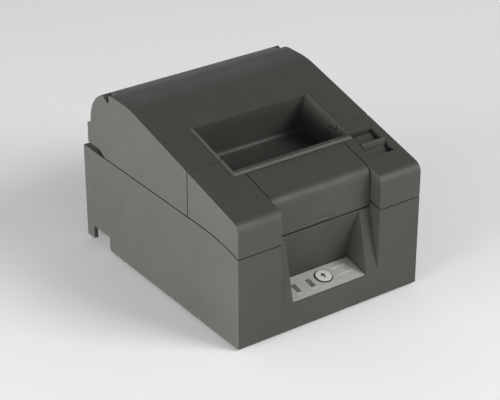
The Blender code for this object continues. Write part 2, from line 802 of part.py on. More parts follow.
def add_tabs(cover):
    for side in (-1, 1):
        near, far = sorted((side * POCKET_HALF, side * (POCKET_HALF + INNER_WALL)))
        join(cover, slab_x(tab_outline(), near, far))


def lever_window():
    """The lever well's sides in X: low, high."""
    high = HALF - LEVER_WELL_SIDE
    return high - LEVER_WELL_WIDTH, high


def cut_lever_well(cover):
    low, high = lever_window()
    a, b = FRONT + LEVER_WELL_FRONT, FRONT + LEVER_WELL_REAR
    wall = INNER_WALL
    side_wall = [on_slope(a + 4 * MM, -1 * MM), on_slope(b + wall, -1 * MM)]
    side_wall += [on_slope(b + wall, -6 * MM), on_slope(a + 4 * MM, -6 * MM)]
    join(cover, slab_x(side_wall, high - 1 * MM, high + wall))
    rear_wall = [on_slope(b - 1 * MM, -1 * MM), on_slope(b + wall, -1 * MM)]
    rear_wall += [on_slope(b + wall, -6 * MM), on_slope(b - 1 * MM, -6 * MM)]
    join(cover, slab_x(rear_wall, low - 0.5 * MM, high + wall))
    deep = 9 * MM
    window = [on_slope(a, -deep), on_slope(b, -deep), on_slope(b, PAST), on_slope(a, PAST)]
    cut(cover, slab_x(window, low, high))


def flap_hinge():
    """The flap's axis, just under its rear edge."""
    return FRONT + FLAP_REAR - 1.3 * MM, slope_z(FRONT + FLAP_REAR - 1.3 * MM) - 1.3 * MM


def flap_line(inset):
    """The flap's bent line: rear edge, nose and front face, moved inward by inset."""
    skin = inset / math.cos(TOP_SLOPE)
    face = FRONT + FLAP_SETBACK + inset
    rear = FRONT + FLAP_REAR
    radius = NOSE_RADIUS - inset
    low = bay_floor() + SEAM
    return [(rear, slope_z(rear) - skin, 0), (face, slope_z(face) - skin, radius), (face, low, 0)]


def cutter_cover():
    """The flap over the cutter: a bent skin with ribs, hinge stubs and a finger scoop."""
    half = SPLAY_HALF - FLAP_GAP
    path = flap_line(0) + flap_line(FLAP_SKIN)[::-1]
    flap = slab_x(eased(path, 6), -half, half)
    hinge_y, hinge_z = flap_hinge()
    for side in (-1, 1):
        near, far = sorted((side * (half - 3 * MM), side * (SPLAY_HALF + 1.2 * MM)))
        join(flap, rod_x(near, far, hinge_y, hinge_z, FLAP_PIN, 12))
    bpy.ops.mesh.primitive_uv_sphere_add(segments=20, ring_count=10, radius=1)
    scoop = bpy.context.object
    scoop.scale = (9.2 * MM, 1.5 * MM, 2.7 * MM)
    scoop.location = (0.4 * MM, FRONT + FLAP_SETBACK, bay_floor() + SEAM + 2.2 * MM)
    bpy.ops.object.transform_apply(location=False, rotation=False, scale=True)
    cut(flap, scoop)
    return node(flap, "cutter_cover", CASE_GREY)


# ---------------------------------------------------------------- paper cover


def arch_centre():
    """Centre of the rear arch in the side view."""
    return REAR - ARCH_SETBACK - ARCH_RADIUS, HEIGHT - ARCH_DROP - ARCH_RADIUS


def cover_profile(inset):
    """The paper cover's side outline, moved inward by inset, as (y, z, radius) corners."""
    front = FRONT + COVER_SPLIT + SEAM / 2
    skin = inset / math.cos(TOP_SLOPE)
    crown_y = FRONT + FRONT_DROP / math.tan(TOP_SLOPE)
    arch_y, arch_z = arch_centre()
    step = HEIGHT - REAR_STEP_DROP - inset
    rear = REAR - REAR_SETBACK - inset
    # the arch springs from the crown and runs down to the step above the rear face
    radius = ARCH_RADIUS - inset
    foot = math.degrees(math.asin((step - arch_z + 2.2 * MM) / radius))
    arch = [(y, z, 0) for y, z in arc((arch_y, arch_z), radius, 76, foot, 10)]
    crown = [(arch_y - 1.6 * MM, HEIGHT - inset, 2 * ARCH_RADIUS / 3)]
    crown += [(crown_y, HEIGHT - inset, CROWN_BLEND)]
    return front, skin, crown, arch, step, rear


def paper_cover():
    """The clamshell cover: arched shell, pocket for the receipt and hinge bosses."""
    front, skin, crown, arch, step, rear = cover_profile(0)
    low = COVER_BOTTOM
    relief = FRONT + RELIEF_START
    outer = [(front, low, 0)]
    outer += [(relief, low, 0), (relief + 7 * MM, low + RELIEF_RISE, 4 * MM), (rear, low + RELIEF_RISE, 0)]
    outer += [(rear, step, 0)]
    outer += arch[::-1] + crown + [(front, slope_z(front), 0)]
    shell = slab_x(eased(outer, 5), -HALF, HALF)
    front, skin, crown, arch, step, rear = cover_profile(CASE_WALL)
    inner = [(front - CASE_WALL - PAST, low - PAST, 0), (rear, low - PAST, 0), (rear, step, 0)]
    inner += arch[::-1] + crown + [(front - CASE_WALL - PAST, slope_z(front - CASE_WALL - PAST) - skin, 0)]
    half = HALF - CASE_WALL
    cut(shell, slab_x(eased(inner, 5), -half, half))
    add_pocket(shell)
    add_end_pits(shell)
    # hinge bosses on both sides of each ear, and notches where the ears stand
    for side in (-1, 1):
        for gap in (-1, 1):
            centre = side * (EAR_X + EAR_THICK / 2) + gap * (EAR_THICK / 2 + CLEAR + 1.5 * MM)
            boss = arc((HINGE_Y, HINGE_Z), HINGE_EAR, -90, 90, 6)
            root = REAR - REAR_SETBACK - CASE_WALL / 2
            block = [(HINGE_Y, HINGE_Z - HINGE_EAR), (root, HINGE_Z - HINGE_EAR + 1.4 * MM)]
            block += [(root, HINGE_Z + 10 * MM)]
            block += arc((HINGE_Y, HINGE_Z), HINGE_EAR, 120, 240, 6)
            join(shell, slab_x(block, centre - 1.5 * MM, centre + 1.5 * MM))
        near, far = sorted((side * (EAR_X - CLEAR), side * (EAR_X + EAR_THICK + CLEAR)))
        room = HINGE_EAR + 0.8 * MM
        cut(shell, box((near, HINGE_Y - room, low - PAST), (far, REAR, HINGE_Z + room)))
        near, far = sorted((side * (EAR_X - 3.4 * MM), side * (EAR_X + EAR_THICK + 3.4 * MM)))
        cut(shell, rod_x(near - PAST, far + PAST, HINGE_Y, HINGE_Z, HINGE_PIN + CLEAR, 20))
    return node(shell, "paper_cover", CASE_GREY)


def add_end_pits(shell):
    """A wedge-shaped pit at each end of the arch, with a thicker patch of wall behind it."""
    arch = arch_centre()
    front = arch[0] + 2.3 * MM
    floor = HEIGHT - PIT_DEEP
    for side in (-1, 1):
        near, far = sorted((side * (HALF - PIT_WIDE - INNER_WALL), side * (HALF - 1.0 * MM)))
        patch = arc(arch, ARCH_RADIUS - 1.2 * MM, 94, 58, 6)
        patch += arc(arch, ARCH_RADIUS - PIT_DEEP - INNER_WALL, 58, 94, 3)
        join(shell, slab_x(patch, near, far))
        near, far = sorted((side * (HALF - PIT_WIDE), side * (HALF + PAST)))
        wedge = [(front, floor + 0.8 * MM), (front + 0.7 * MM, floor), (front + 2.2 * MM, floor)]
        wedge += [(front + PIT_LONG, HEIGHT - 1.2 * MM), (front + PIT_LONG, HEIGHT + PAST)]
        wedge += [(front, HEIGHT + PAST)]
        cut(shell, slab_x(wedge, near, far))


def pocket_corners():
    """Side view of the receipt pocket: leaning back wall and a floor that falls to the front."""
    back = FRONT + POCKET_BACK
    top = on_slope(back, 12 * MM)
    floor_front = PLATEN_AXIS_Z + TROUGH_RISE - 2.0 * MM
    floor_back = floor_front + TROUGH_FALL
    deep = (slope_z(back) - floor_back) / math.cos(TOP_SLOPE)
    foot = on_slope(back, -deep)
    fore = FRONT + PAPER_LINE + 1.5 * MM
    return top, (foot[0], floor_back), (fore, floor_front)


def add_pocket(shell):
    """Cut the opening through the top, and line it with side walls, a back and a floor."""
    top, foot, fore = pocket_corners()
    wall = INNER_WALL
    split = FRONT + COVER_SPLIT + SEAM / 2
    block = rim_block(split - PAST, FRONT + POCKET_BACK - 0.6 * MM)
    across = POCKET_HALF + 2 * PAST
    cut(block, box((-across, split - 3 * PAST, 0), (across, split + 0.2 * MM, HEIGHT + PAST)))
    join(shell, block)
    # the side walls start behind and above the front cover's tabs
    tab_top = slope_z(split) - TAB_DROP + 0.6 * MM
    tab_rear = FRONT + TAB_REAR + 0.6 * MM
    floor_at_tab = fore[1] + 1.0 * MM
    lining = [
        (tab_rear, floor_at_tab - wall - 1.0 * MM),
        (foot[0] + wall, foot[1] - wall),
        on_slope(FRONT + POCKET_BACK + wall, -1.0 * MM),
        on_slope(split, -1.0 * MM),
        (split, tab_top),
        (tab_rear, tab_top),
    ]
    outer = POCKET_HALF + wall
    join(shell, slab_x(lining, -outer, outer))
    tongue = [
        (fore[0], fore[1] - wall),
        (tab_rear + 3 * MM, floor_at_tab - wall - 0.6 * MM),
        (tab_rear + 3 * MM, floor_at_tab + 3 * MM),
        (fore[0], fore[1] + 1.0 * MM),
    ]
    between = POCKET_HALF - 0.5 * MM
    join(shell, slab_x(tongue, -between, between))
    opening = [
        (fore[0] - 14 * MM, fore[1], 0),
        (fore[0] + 6 * MM, fore[1] + 0.6 * MM, 0),
        (foot[0], foot[1], 3 * MM),
        (top[0], top[1], 0),
        (fore[0] - 14 * MM, HEIGHT + 10 * MM, 0),
    ]
    cut(shell, slab_x(eased(opening, 4), -POCKET_HALF, POCKET_HALF))


def hinge_pin(name, side):
    ends = sorted((side * (EAR_X - 3.2 * MM), side * (EAR_X + EAR_THICK + 3.2 * MM)))
    return node(rod_x(*ends, HINGE_Y, HINGE_Z, HINGE_PIN, 20), name, BLADE_STEEL)


# ---------------------------------------------------------------- chassis and paper path


def side_plate(name, side):
    """A sheet steel cheek with an open slot for the platen's bushing and holes for the drive."""
    near, far = sorted((side * PLATE_X, side * (PLATE_X + PLATE_THICK)))
    a, b = FRONT + 37 * MM, FRONT + PLATE_REAR
    top = PLATEN_AXIS_Z + 5 * MM
    slot = BUSH_RADIUS + CLEAR
    half_circle = arc((PLATEN_Y, PLATEN_AXIS_Z), slot, 180, 360, 10)
    points = [(a, PLATE_LOW), (b, PLATE_LOW), (b, top - 12 * MM), (b - 12 * MM, top)]
    points += [(PLATEN_Y + slot, top)] + half_circle[::-1] + [(PLATEN_Y - slot - 1.5 * MM, top), (a, top)]
    plate = slab_x(points, near, far)
    pivot_y, pivot_z = head_pivot()
    cut(plate, rod_x(near - PAST, far + PAST, pivot_y, pivot_z, HEAD_STUB + CLEAR, 16))
    if side > 0:
        tab_low, tab_high = tab_heights()
        low = (near - PAST, pivot_y - 4 * MM, tab_low - 1 * MM)
        cut(plate, box(low, (far + PAST, pivot_y + 4 * MM, tab_high + 1 * MM)))
    else:
        motor_y, motor_z = motor_axis()
        cut(plate, rod_x(near - PAST, far + PAST, motor_y, motor_z, 4 * MM, 20))
    return node(plate, name, SHEET_STEEL)


def chassis_beam():
    """The cross plate between the cheeks, which backs the print head's springs."""
    half = PLATE_X - CLEAR
    y = FRONT + 38 * MM
    low = PLATE_LOW + 2 * MM
    beam = box((-half, y, low), (half, y + PLATE_THICK, PLATEN_AXIS_Z + 2 * MM))
    foot = box((-half, y, low), (half, y + 12 * MM, low + PLATE_THICK))
    join(beam, foot)
    reach = head_pivot()[0] - LUG_REACH + 5.2 * MM
    for side in (-1, 1):
        x = side * SPRING_X
        high = shelf_z()
        low = (x - SHELF_HALF, y + PLATE_THICK / 2, high - PLATE_THICK)
        join(beam, box(low, (x + SHELF_HALF, reach, high)))
    return node(beam, "chassis_beam", SHEET_STEEL)


def paper_guide():
    """A curved tray round the platen's underside that leads the paper to the head."""
    gap = PLATEN_RADIUS + 1.5 * MM
    inner = arc((PLATEN_Y, PLATEN_AXIS_Z), gap, -35, -130, 10)
    outer = arc((PLATEN_Y, PLATEN_AXIS_Z), gap + 1.0 * MM, -130, -35, 10)
    rise = BIN_Z - 4 * MM
    lead_y = BIN_Y - ROLL_RADIUS - BIN_WALL - 1 * MM
    lead = [(lead_y, rise - 1.2 * MM), (lead_y, rise)]
    half = PLATE_X - CLEAR
    return node(slab_x(inner + outer + lead, -half, half), "paper_guide", INNER_BLACK)


def paper_bin():
    """The half-round bowl that the roll drops into."""
    outer_r = ROLL_RADIUS + BIN_WALL
    half = PAPER_HALF + BIN_WALL + 1.2 * MM
    wing = BASE_TOP - 4 * MM
    start = math.degrees(math.asin((wing - BIN_Z) / outer_r))
    profile = arc((BIN_Y, BIN_Z), outer_r, 180 - start, 360 + start, 22)
    bowl = slab_x(profile, -half, half)
    inside = half - BIN_WALL
    cut(bowl, rod_x(-inside, inside, BIN_Y, BIN_Z, ROLL_RADIUS, 44))
    return node(bowl, "paper_bin", INNER_BLACK)


def near_end_sensor():
    """The sensor on the bin's side that sees a roll run low."""
    low = PAPER_HALF + BIN_WALL + 1.2 * MM + CLEAR
    body = box((low, BIN_Y - 8 * MM, BIN_Z - 30 * MM), (low + 7 * MM, BIN_Y + 8 * MM, BIN_Z - 18 * MM))
    return node(body, "near_end_sensor", INNER_BLACK)


# ---------------------------------------------------------------- platen and drive


def platen_frame():
    """The bracket under the pocket's floor that carries the platen on the cover."""
    floor = PLATEN_AXIS_Z + TROUGH_RISE - 2.0 * MM - INNER_WALL - CLEAR
    half = PLATE_X + PLATE_THICK + 0.6 * MM + ARM_THICK
    y1 = FRONT + TAB_REAR + 6 * MM
    plate = box((-half, PLATEN_Y + 1 * MM, floor - 1.8 * MM), (half, y1, floor))
    for side in (-1, 1):
        near, far = sorted((side * (half - ARM_THICK), side * half))
        cheek = arc((PLATEN_Y, PLATEN_AXIS_Z), BUSH_RADIUS + 0.5 * MM, 180, 360, 8)
        cheek += [(y1, floor - 0.6 * MM), (PLATEN_Y - 3 * MM, floor - 0.6 * MM)]
        join(plate, slab_x(cheek, near, far))
        cut(plate, rod_x(near - PAST, far + PAST, PLATEN_Y, PLATEN_AXIS_Z, SHAFT_RADIUS + RUNNING, 20))
    return node(plate, "platen_frame", INNER_BLACK)


def platen_roller():
    half = PAPER_HALF - 0.1 * MM
    tube = rod_x(-half, half, PLATEN_Y, PLATEN_AXIS_Z, PLATEN_RADIUS, 36)
    cut(tube, rod_x(-half - PAST, half + PAST, PLATEN_Y, PLATEN_AXIS_Z, SHAFT_RADIUS + CLEAR, 20))
    return node(tube, "platen_roller", PLATEN_RUBBER)


def drive_x():
    """The plane of the feed gears, outside the left cheek: low, high."""
    high = -PLATE_X - PLATE_THICK - 0.6 * MM - ARM_THICK - CLEAR
    return high - GEAR_WIDTH, high


def platen_shaft():
    right_end = PLATE_X + PLATE_THICK + ARM_THICK + 1.2 * MM
    shaft = rod_x(drive_x()[0] - 0.1 * MM, right_end, PLATEN_Y, PLATEN_AXIS_Z, SHAFT_RADIUS, 20)
    return node(shaft, "platen_shaft", BLADE_STEEL)


def platen_bushing(name, side):
    low, high = PLATE_X - 0.2 * MM, PLATE_X + PLATE_THICK + CLEAR
    near, far = sorted((side * low, side * high))
    bush = rod_x(near, far, PLATEN_Y, PLATEN_AXIS_Z, BUSH_RADIUS, 24)
    cut(bush, rod_x(near - PAST, far + PAST, PLATEN_Y, PLATEN_AXIS_Z, SHAFT_RADIUS + RUNNING, 20))
    return node(bush, name, GEAR_WHITE)


def idler_axis():
    """Straight below the platen's axis, one pair of pitch radii away."""
    apart = FEED_MODULE * (PLATEN_TEETH + IDLER_TEETH) / 2 + RUNNING
    return PLATEN_Y, PLATEN_AXIS_Z - apart


def motor_axis():
    """Below and behind the idler."""
    apart = FEED_MODULE * (IDLER_TEETH + MOTOR_TEETH) / 2 + RUNNING
    y, z = idler_axis()
    return y + apart * math.cos(MOTOR_ANGLE), z + apart * math.sin(MOTOR_ANGLE)


def mesh_phase(teeth, other_phase, other_teeth, angle):
    """Turn a gear so that a gap of it faces the other gear's tooth along the line of centres."""
    facing = (angle - other_phase) * other_teeth / (2 * math.pi)
    rest = facing - math.floor(facing)
    return angle + math.pi + (0.5 + rest) * 2 * math.pi / teeth


def feed_gears():
    low, high = drive_x()
    y, z = idler_axis()
    idler_phase = 0.0
    idler = gear(IDLER_TEETH, FEED_MODULE, low, high, y, z, 2.0 * MM + RUNNING, idler_phase)
    node(idler, "idler_gear", GEAR_WHITE)
    phase = mesh_phase(PLATEN_TEETH, idler_phase, IDLER_TEETH, math.pi / 2)
    bore = SHAFT_RADIUS + CLEAR
    platen = gear(PLATEN_TEETH, FEED_MODULE, low, high, PLATEN_Y, PLATEN_AXIS_Z, bore, phase)
    node(platen, "platen_gear", GEAR_WHITE)
    motor_y, motor_z = motor_axis()
    phase = mesh_phase(MOTOR_TEETH, idler_phase, IDLER_TEETH, MOTOR_ANGLE)
    pinion = gear(MOTOR_TEETH, FEED_MODULE, low, high, motor_y, motor_z, 1.0 * MM + CLEAR, phase)
    node(pinion, "motor_pinion", BLADE_STEEL)
    peg = rod_x(low - 0.6 * MM, -PLATE_X - PLATE_THICK - CLEAR, y, z, 2.0 * MM, 20)
    stud = node(peg, "idler_stud", BLADE_STEEL)
    return idler, platen, pinion, stud


def feed_motor():
    """The stepper motor inside the left cheek, its shaft through the cheek."""
    y, z = motor_axis()
    face = -PLATE_X + CLEAR
    body = rod_x(face, face + 20 * MM, y, z, MOTOR_RADIUS, 32)
    join(body, rod_x(face - 0.5 * MM, face + 0.4 * MM, y, z, 3.4 * MM, 20))
    join(body, rod_x(drive_x()[0] - 0.4 * MM, face + 1 * MM, y, z, 1.0 * MM, 16))
    return node(body, "feed_motor", SHEET_STEEL)


# ---------------------------------------------------------------- print head


def head_pivot():
    return FRONT + PAPER_LINE - 5 * MM, HEAD_PIVOT_Z


def shelf_z():
    """Top of the beam's two shelves, on which the head's springs stand."""
    return HEAD_PIVOT_Z - 9.5 * MM


def tab_heights():
    return HEAD_PIVOT_Z + 8 * MM, HEAD_PIVOT_Z + 12 * MM


def print_head():
    face = FRONT + PAPER_LINE - PAPER_GAP
    half = PAPER_HALF - 0.5 * MM
    plate = box((-half, face - HEAD_THICK, PLATEN_AXIS_Z - 5 * MM), (half, face, PLATEN_AXIS_Z + 4 * MM))
    return node(plate, "print_head", CERAMIC)


def heat_sink():
    """The alloy bar behind the head, with pivot stubs and the tab that the lever pushes."""
    rear = FRONT + PAPER_LINE - PAPER_GAP - HEAD_THICK - CLEAR
    y, z = head_pivot()
    half = PLATE_X - CLEAR
    bar = box((-half, rear - 4.2 * MM, z - 2.2 * MM), (half, rear, PLATEN_AXIS_Z + 4 * MM))
    for side in (-1, 1):
        x = side * SPRING_X
        high = (x + SHELF_HALF, rear - 2 * MM, z - 0.6 * MM)
        lug = box((x - SHELF_HALF, y - LUG_REACH, z - 2.2 * MM), high)
        join(bar, lug)
    stub = PLATE_X + PLATE_THICK
    join(bar, rod_x(-stub, stub, y, z, HEAD_STUB, 16))
    tab_low, tab_high = tab_heights()
    join(bar, box((half - 1 * MM, y - 1 * MM, tab_low), (LEVER_ARM_X + 3 * MM, y + 1.2 * MM, tab_high)))
    return node(bar, "heat_sink", ALLOY)


def head_spring(name, side):
    """An upright coil under the bar's front lug, which turns the head onto the platen."""
    y = head_pivot()[0] - LUG_REACH + 2.6 * MM
    low = shelf_z() + SPRING_WIRE + CLEAR
    high = HEAD_PIVOT_Z - 2.2 * MM - SPRING_WIRE - CLEAR
    x = side * SPRING_X
    return coil(name, (x, y, low), (x, y, high), 2.0 * MM, SPRING_WIRE, 4, BLADE_STEEL)


# ---------------------------------------------------------------- cutter


def blade_z():
    """Underside of the moving blade, just above the fixed one on the cover."""
    return PLATEN_AXIS_Z + PLATEN_RADIUS + 3.0 * MM


def fixed_blade():
    half = PAPER_HALF + 2 * MM
    high = blade_z() - CLEAR
    y = FRONT + PAPER_LINE + 1.0 * MM
    return node(box((-half, y, high - BLADE_THICK), (half, y + 8 * MM, high)), "fixed_blade", BLADE_STEEL)


def rack_line():
    """Height of the rack's pitch line on the moving blade."""
    return blade_z() + BLADE_THICK + 2.2 * MM


def pinion_axis():
    return FRONT + PINION_FROM_FRONT, rack_line() + CUT_MODULE * RACK_TEETH / 2 + RUNNING


def moving_blade():
    """The guillotine blade with a shallow V edge and the rack that drives it."""
    half = PAPER_HALF + 1.5 * MM
    front, rear = FRONT + 22 * MM, FRONT + PAPER_LINE - 2.0 * MM
    plan = [(-half, front), (half, front), (half, rear), (0, rear - 2.5 * MM), (-half, rear)]
    blade = slab_z(plan, blade_z(), blade_z() + BLADE_THICK)
    pitch = math.pi * CUT_MODULE
    y, z = pinion_axis()
    line = rack_line()
    tip, root = line + 0.9 * CUT_MODULE, line - 1.15 * CUT_MODULE
    count = 6
    start = y - 1.5 * pitch
    low = blade_z() + BLADE_THICK / 2
    points = []
    for tooth in range(count):
        middle = start - pitch * 1.5 + tooth * pitch
        points += [(middle - 0.31 * pitch, root), (middle - 0.11 * pitch, tip)]
        points += [(middle + 0.11 * pitch, tip), (middle + 0.31 * pitch, root)]
    fore, back = points[0][0] - 1 * MM, points[-1][0] + 1 * MM
    points += [(back, root), (back, low), (fore, low), (fore, root)]
    join(blade, slab_x(points, *RACK_X))
    return node(blade, "moving_blade", BLADE_STEEL)


def cutter_knob():
    """The thumb gear and its rack pinion, turned as one piece."""
    y, z = pinion_axis()
    start = y - 3 * math.pi * CUT_MODULE
    pitch = math.pi * CUT_MODULE
    # a gap of the pinion faces the rack tooth nearest to it
    nearest = round((y - start) / pitch) * pitch + start
    phase = -math.pi / 2 + (nearest - y) / (CUT_MODULE * RACK_TEETH / 2) + math.pi / RACK_TEETH
    pinion = gear(RACK_TEETH, CUT_MODULE, *RACK_X, y, z, 0, phase)
    join(pinion, gear(KNOB_TEETH, CUT_MODULE, *KNOB_X, y, z, 0, 0.0))
    join(pinion, rod_x(RACK_X[0] - 4 * MM, KNOB_X[1] + 4 * MM, y, z, 1.5 * MM, 20))
    return node(pinion, "cutter_knob", KNOB_GREEN)


def cutter_motor_axis():
    y, z = pinion_axis()
    apart = CUT_MODULE * (KNOB_TEETH + CUT_MOTOR_TEETH) / 2 + RUNNING
    angle = math.radians(20)
    return y + apart * math.cos(angle), z + apart * math.sin(angle)


def cutter_motor():
    y, z = cutter_motor_axis()
    deck = blade_z() + BLADE_THICK + CLEAR + 1.0 * MM + CLEAR
    body = rod_x(-6 * MM, 19 * MM, y, z, 5.6 * MM, 28)
    join(body, box((-4 * MM, y - 5 * MM, deck), (17 * MM, y + 5 * MM, z)))
    join(body, rod_x(18 * MM, KNOB_X[1] + 0.6 * MM, y, z, 0.8 * MM, 12))
    return node(body, "cutter_motor", SHEET_STEEL)


def cutter_motor_gear():
    y, z = cutter_motor_axis()
    phase = mesh_phase(CUT_MOTOR_TEETH, 0.0, KNOB_TEETH, math.radians(20))
    made = gear(CUT_MOTOR_TEETH, CUT_MODULE, *KNOB_X, y, z, 0.8 * MM + CLEAR, phase)
    return node(made, "cutter_motor_gear", GEAR_WHITE)


def cutter_frame():
    """The deck over the moving blade, with side flanges and bearings for the thumb gear."""
    low = blade_z() + BLADE_THICK + CLEAR
    high = low + 1.0 * MM
    half = PAPER_HALF + 3.8 * MM
    a, b = FRONT + 16 * MM, FRONT + PAPER_LINE - 3.5 * MM
    deck = box((-half, a, low), (half, b, high))
    y, z = pinion_axis()
    for side in (-1, 1):
        near, far = sorted((side * (half - 1.2 * MM), side * half))
        join(deck, box((near, FRONT + 37 * MM, PLATEN_AXIS_Z + 1 * MM), (far, b, high)))
    window = (RACK_X[0] - 0.8 * MM, KNOB_X[1] + 0.8 * MM)
    rear = y + 8 * MM + BLADE_TRAVEL
    cut(deck, box((window[0], y - 11 * MM, low - PAST), (window[1], rear, high + PAST)))
    left_ear = (window[0] - 2.6 * MM, window[0] - 0.8 * MM)
    right_ear = (window[1] + 0.8 * MM, window[1] + 2.6 * MM)
    for near, far in (left_ear, right_ear):
        ear = [(y - 4 * MM, high - 0.5 * MM), (y + 4 * MM, high - 0.5 * MM)]
        ear += arc((y, z), 3.2 * MM, 0, 180, 8)
        join(deck, slab_x(ear, near, far))
        cut(deck, rod_x(near - PAST, far + PAST, y, z, 1.5 * MM + RUNNING, 20))
    return node(deck, "cutter_frame", SHEET_STEEL)


# ---------------------------------------------------------------- cover lever


def lever_axis():
    return FRONT + LEVER_AXIS[0], LEVER_AXIS[1]


def open_lever():
    """The cover-release lever: a ribbed thumb plate in the well, on an arm down to its pin."""
    low, high = lever_window()
    low, high = low + 0.8 * MM, high - 0.8 * MM
    rib_front = FRONT + 28.9 * MM
    rib_rear = FRONT + 31.2 * MM
    rib_top = slope_z(rib_front) + 2.4 * MM
    dip = math.tan(math.radians(32))
    fore_floor = slope_z(rib_front) - 3.4 * MM
    front_end = FRONT + 18 * MM
    rear_end = FRONT + LEVER_WELL_REAR - 0.4 * MM
    rear_top = slope_z(rear_end) - CASE_WALL - 0.5 * MM
    rear_floor = rear_top - (rear_end - rib_rear) * dip * 0.9
    skin = 1.6 * MM
    plate = [
        (front_end, fore_floor - (rib_front - front_end) * dip, 0),
        (rib_front, fore_floor, 0),
        (rib_front + 0.1 * MM, rib_top, 0.5 * MM),
        (rib_rear - 0.1 * MM, rib_top, 0.5 * MM),
        (rib_rear + 0.3 * MM, rear_floor, 0),
        (rear_end, rear_top, 0),
        (rear_end, rear_top - skin, 0),
        (rib_rear + 0.3 * MM, rear_floor - skin, 0),
        (rib_front, fore_floor - skin, 0),
        (front_end, fore_floor - (rib_front - front_end) * dip - skin, 0),
    ]
    lever = slab_x(eased(plate, 3), low, high)
    y, z = lever_axis()
    arm_low = LEVER_ARM_X
    top_z = rear_floor - skin / 2
    arm = arc((y, z), 3.6 * MM, 180, 360, 8)
    arm += [(y + 2.4 * MM, z + 12 * MM), (FRONT + 41 * MM, rear_floor)]
    arm += [(FRONT + 36 * MM, rear_floor + 1.4 * MM)]
    arm += [(FRONT + 31.5 * MM, rear_floor - 0.9 * MM), (FRONT + 43 * MM, z + 18 * MM)]
    arm += [(y - 2.7 * MM, z + 12 * MM), (y - 2.7 * MM, z + 6 * MM)]
    join(lever, slab_x(arm, arm_low, arm_low + LEVER_ARM))
    cut(lever, rod_x(arm_low - PAST, arm_low + 5 * MM, y, z, 1.5 * MM + RUNNING, 16))
    return node(lever, "open_lever", CASE_GREY)


def lever_pin():
    y, z = lever_axis()
    low = PLATE_X + PLATE_THICK + CLEAR
    pin = rod_x(low, LEVER_ARM_X + LEVER_ARM + 5 * MM, y, z, 1.5 * MM, 16)
    return node(pin, "lever_pin", BLADE_STEEL)


def lever_spring():
    y, z = lever_axis()
    low = LEVER_ARM_X + LEVER_ARM + CLEAR
    start, end = (low + 0.4 * MM, y, z), (low + 3.6 * MM, y, z)
    return coil("lever_spring", start, end, 2.4 * MM, 0.3 * MM, 3, BLADE_STEEL)


# ---------------------------------------------------------------- control panel


def on_panel(from_front, lift=0.0):
    """A side-view point on the tilted control panel, lifted square to it."""
    y = FRONT + from_front
    return y - lift * math.sin(TILT), panel_z(y) + lift * math.cos(TILT)


def tilted_rod(x, from_front, low, high, radius, sides):
    start, end = on_panel(from_front, low), on_panel(from_front, high)
    return rod((x, *start), (x, *end), radius, sides)


def tilted_box(x_low, x_high, near, far, low, high):
    corners = [on_panel(near, low), on_panel(far, low), on_panel(far, high), on_panel(near, high)]
    return slab_x(corners, x_low, x_high)


def control_panel():
    """The pale tilted plate in the niche, with openings for the button and two lights."""
    half = NICHE_HALF - CLEAR
    fore, back = 0.6 * MM + CLEAR, NICHE_DEPTH - CLEAR - 0.4 * MM
    plate = tilted_box(-half, half, fore, back, -PANEL_THICK, 0)
    cut(plate, tilted_rod(BUTTON_X, BUTTON_FROM_FRONT, -5 * MM, 5 * MM, BUTTON_RADIUS + CLEAR, 32))
    for x in LIGHT_X:
        cut(plate, light_bar(x, LIGHT_WIDTH / 2 + CLEAR, LIGHT_LENGTH / 2 + CLEAR, -5 * MM, 5 * MM))
    return node(plate, "control_panel", PANEL_GREY)


def light_bar(x, half_width, half_length, low, high):
    middle = 11.1 * MM
    return tilted_box(x - half_width, x + half_width, middle - half_length, middle + half_length, low, high)


def feed_button():
    """A round domed key on a stem that reaches the board."""
    rise = 0.8 * MM
    key = tilted_rod(BUTTON_X, BUTTON_FROM_FRONT, -2.0 * MM, rise, BUTTON_RADIUS, 32)
    join(key, tilted_rod(BUTTON_X, BUTTON_FROM_FRONT, -5.2 * MM, -1.8 * MM, 1.8 * MM, 12))
    return node(key, "feed_button", BUTTON_WHITE)


def status_light(name, x):
    pipe = light_bar(x, LIGHT_WIDTH / 2, LIGHT_LENGTH / 2, -5.6 * MM, -0.1 * MM)
    return node(pipe, name, LENS_SMOKE)


def panel_board():
    """The small circuit board under the control panel."""
    board = tilted_box(-25 * MM, 15 * MM, 5.6 * MM, 18 * MM, -8.4 * MM, -6.8 * MM)
    return node(board, "panel_board", BOARD_GREEN)


# ---------------------------------------------------------------- boards and connectors


def main_board():
    y1 = REAR - BAY_LENGTH - CASE_WALL - CLEAR
    board = box((-60 * MM, FRONT + PLATE_REAR + 3 * MM, BOARD_Z), (60 * MM, y1, BOARD_Z + 1.6 * MM))
    return node(board, "main_board", BOARD_GREEN)


def connector_panel():
    """The plate that closes the cable bay's front wall round the connectors."""
    face = REAR - BAY_LENGTH
    half = CONNECTOR_HALF - CLEAR
    low, high = CASE_BOTTOM + 5 * MM + CLEAR, CASE_BOTTOM + 27 * MM - CLEAR
    plate = box((-half, face - 1.5 * MM, low), (half, face - 0.3 * MM, high))
    for centre, width, height in connector_sites():
        cut(plate, box((centre - width / 2 - CLEAR, face - 4 * MM, CONNECTOR_Z - height / 2 - CLEAR),
                       (centre + width / 2 + CLEAR, face + PAST, CONNECTOR_Z + height / 2 + CLEAR)))
    return node(plate, "connector_panel", INNER_BLACK)


def connector_sites():
    """Centre in X, width and height of the inlet, data, drawer and switch sites."""
    return (
        (-38 * MM, 22 * MM, 16 * MM),
        (-8 * MM, 12 * MM, 11 * MM),
        (12 * MM, 14 * MM, 13 * MM),
        (40 * MM, 14 * MM, 19 * MM),
    )


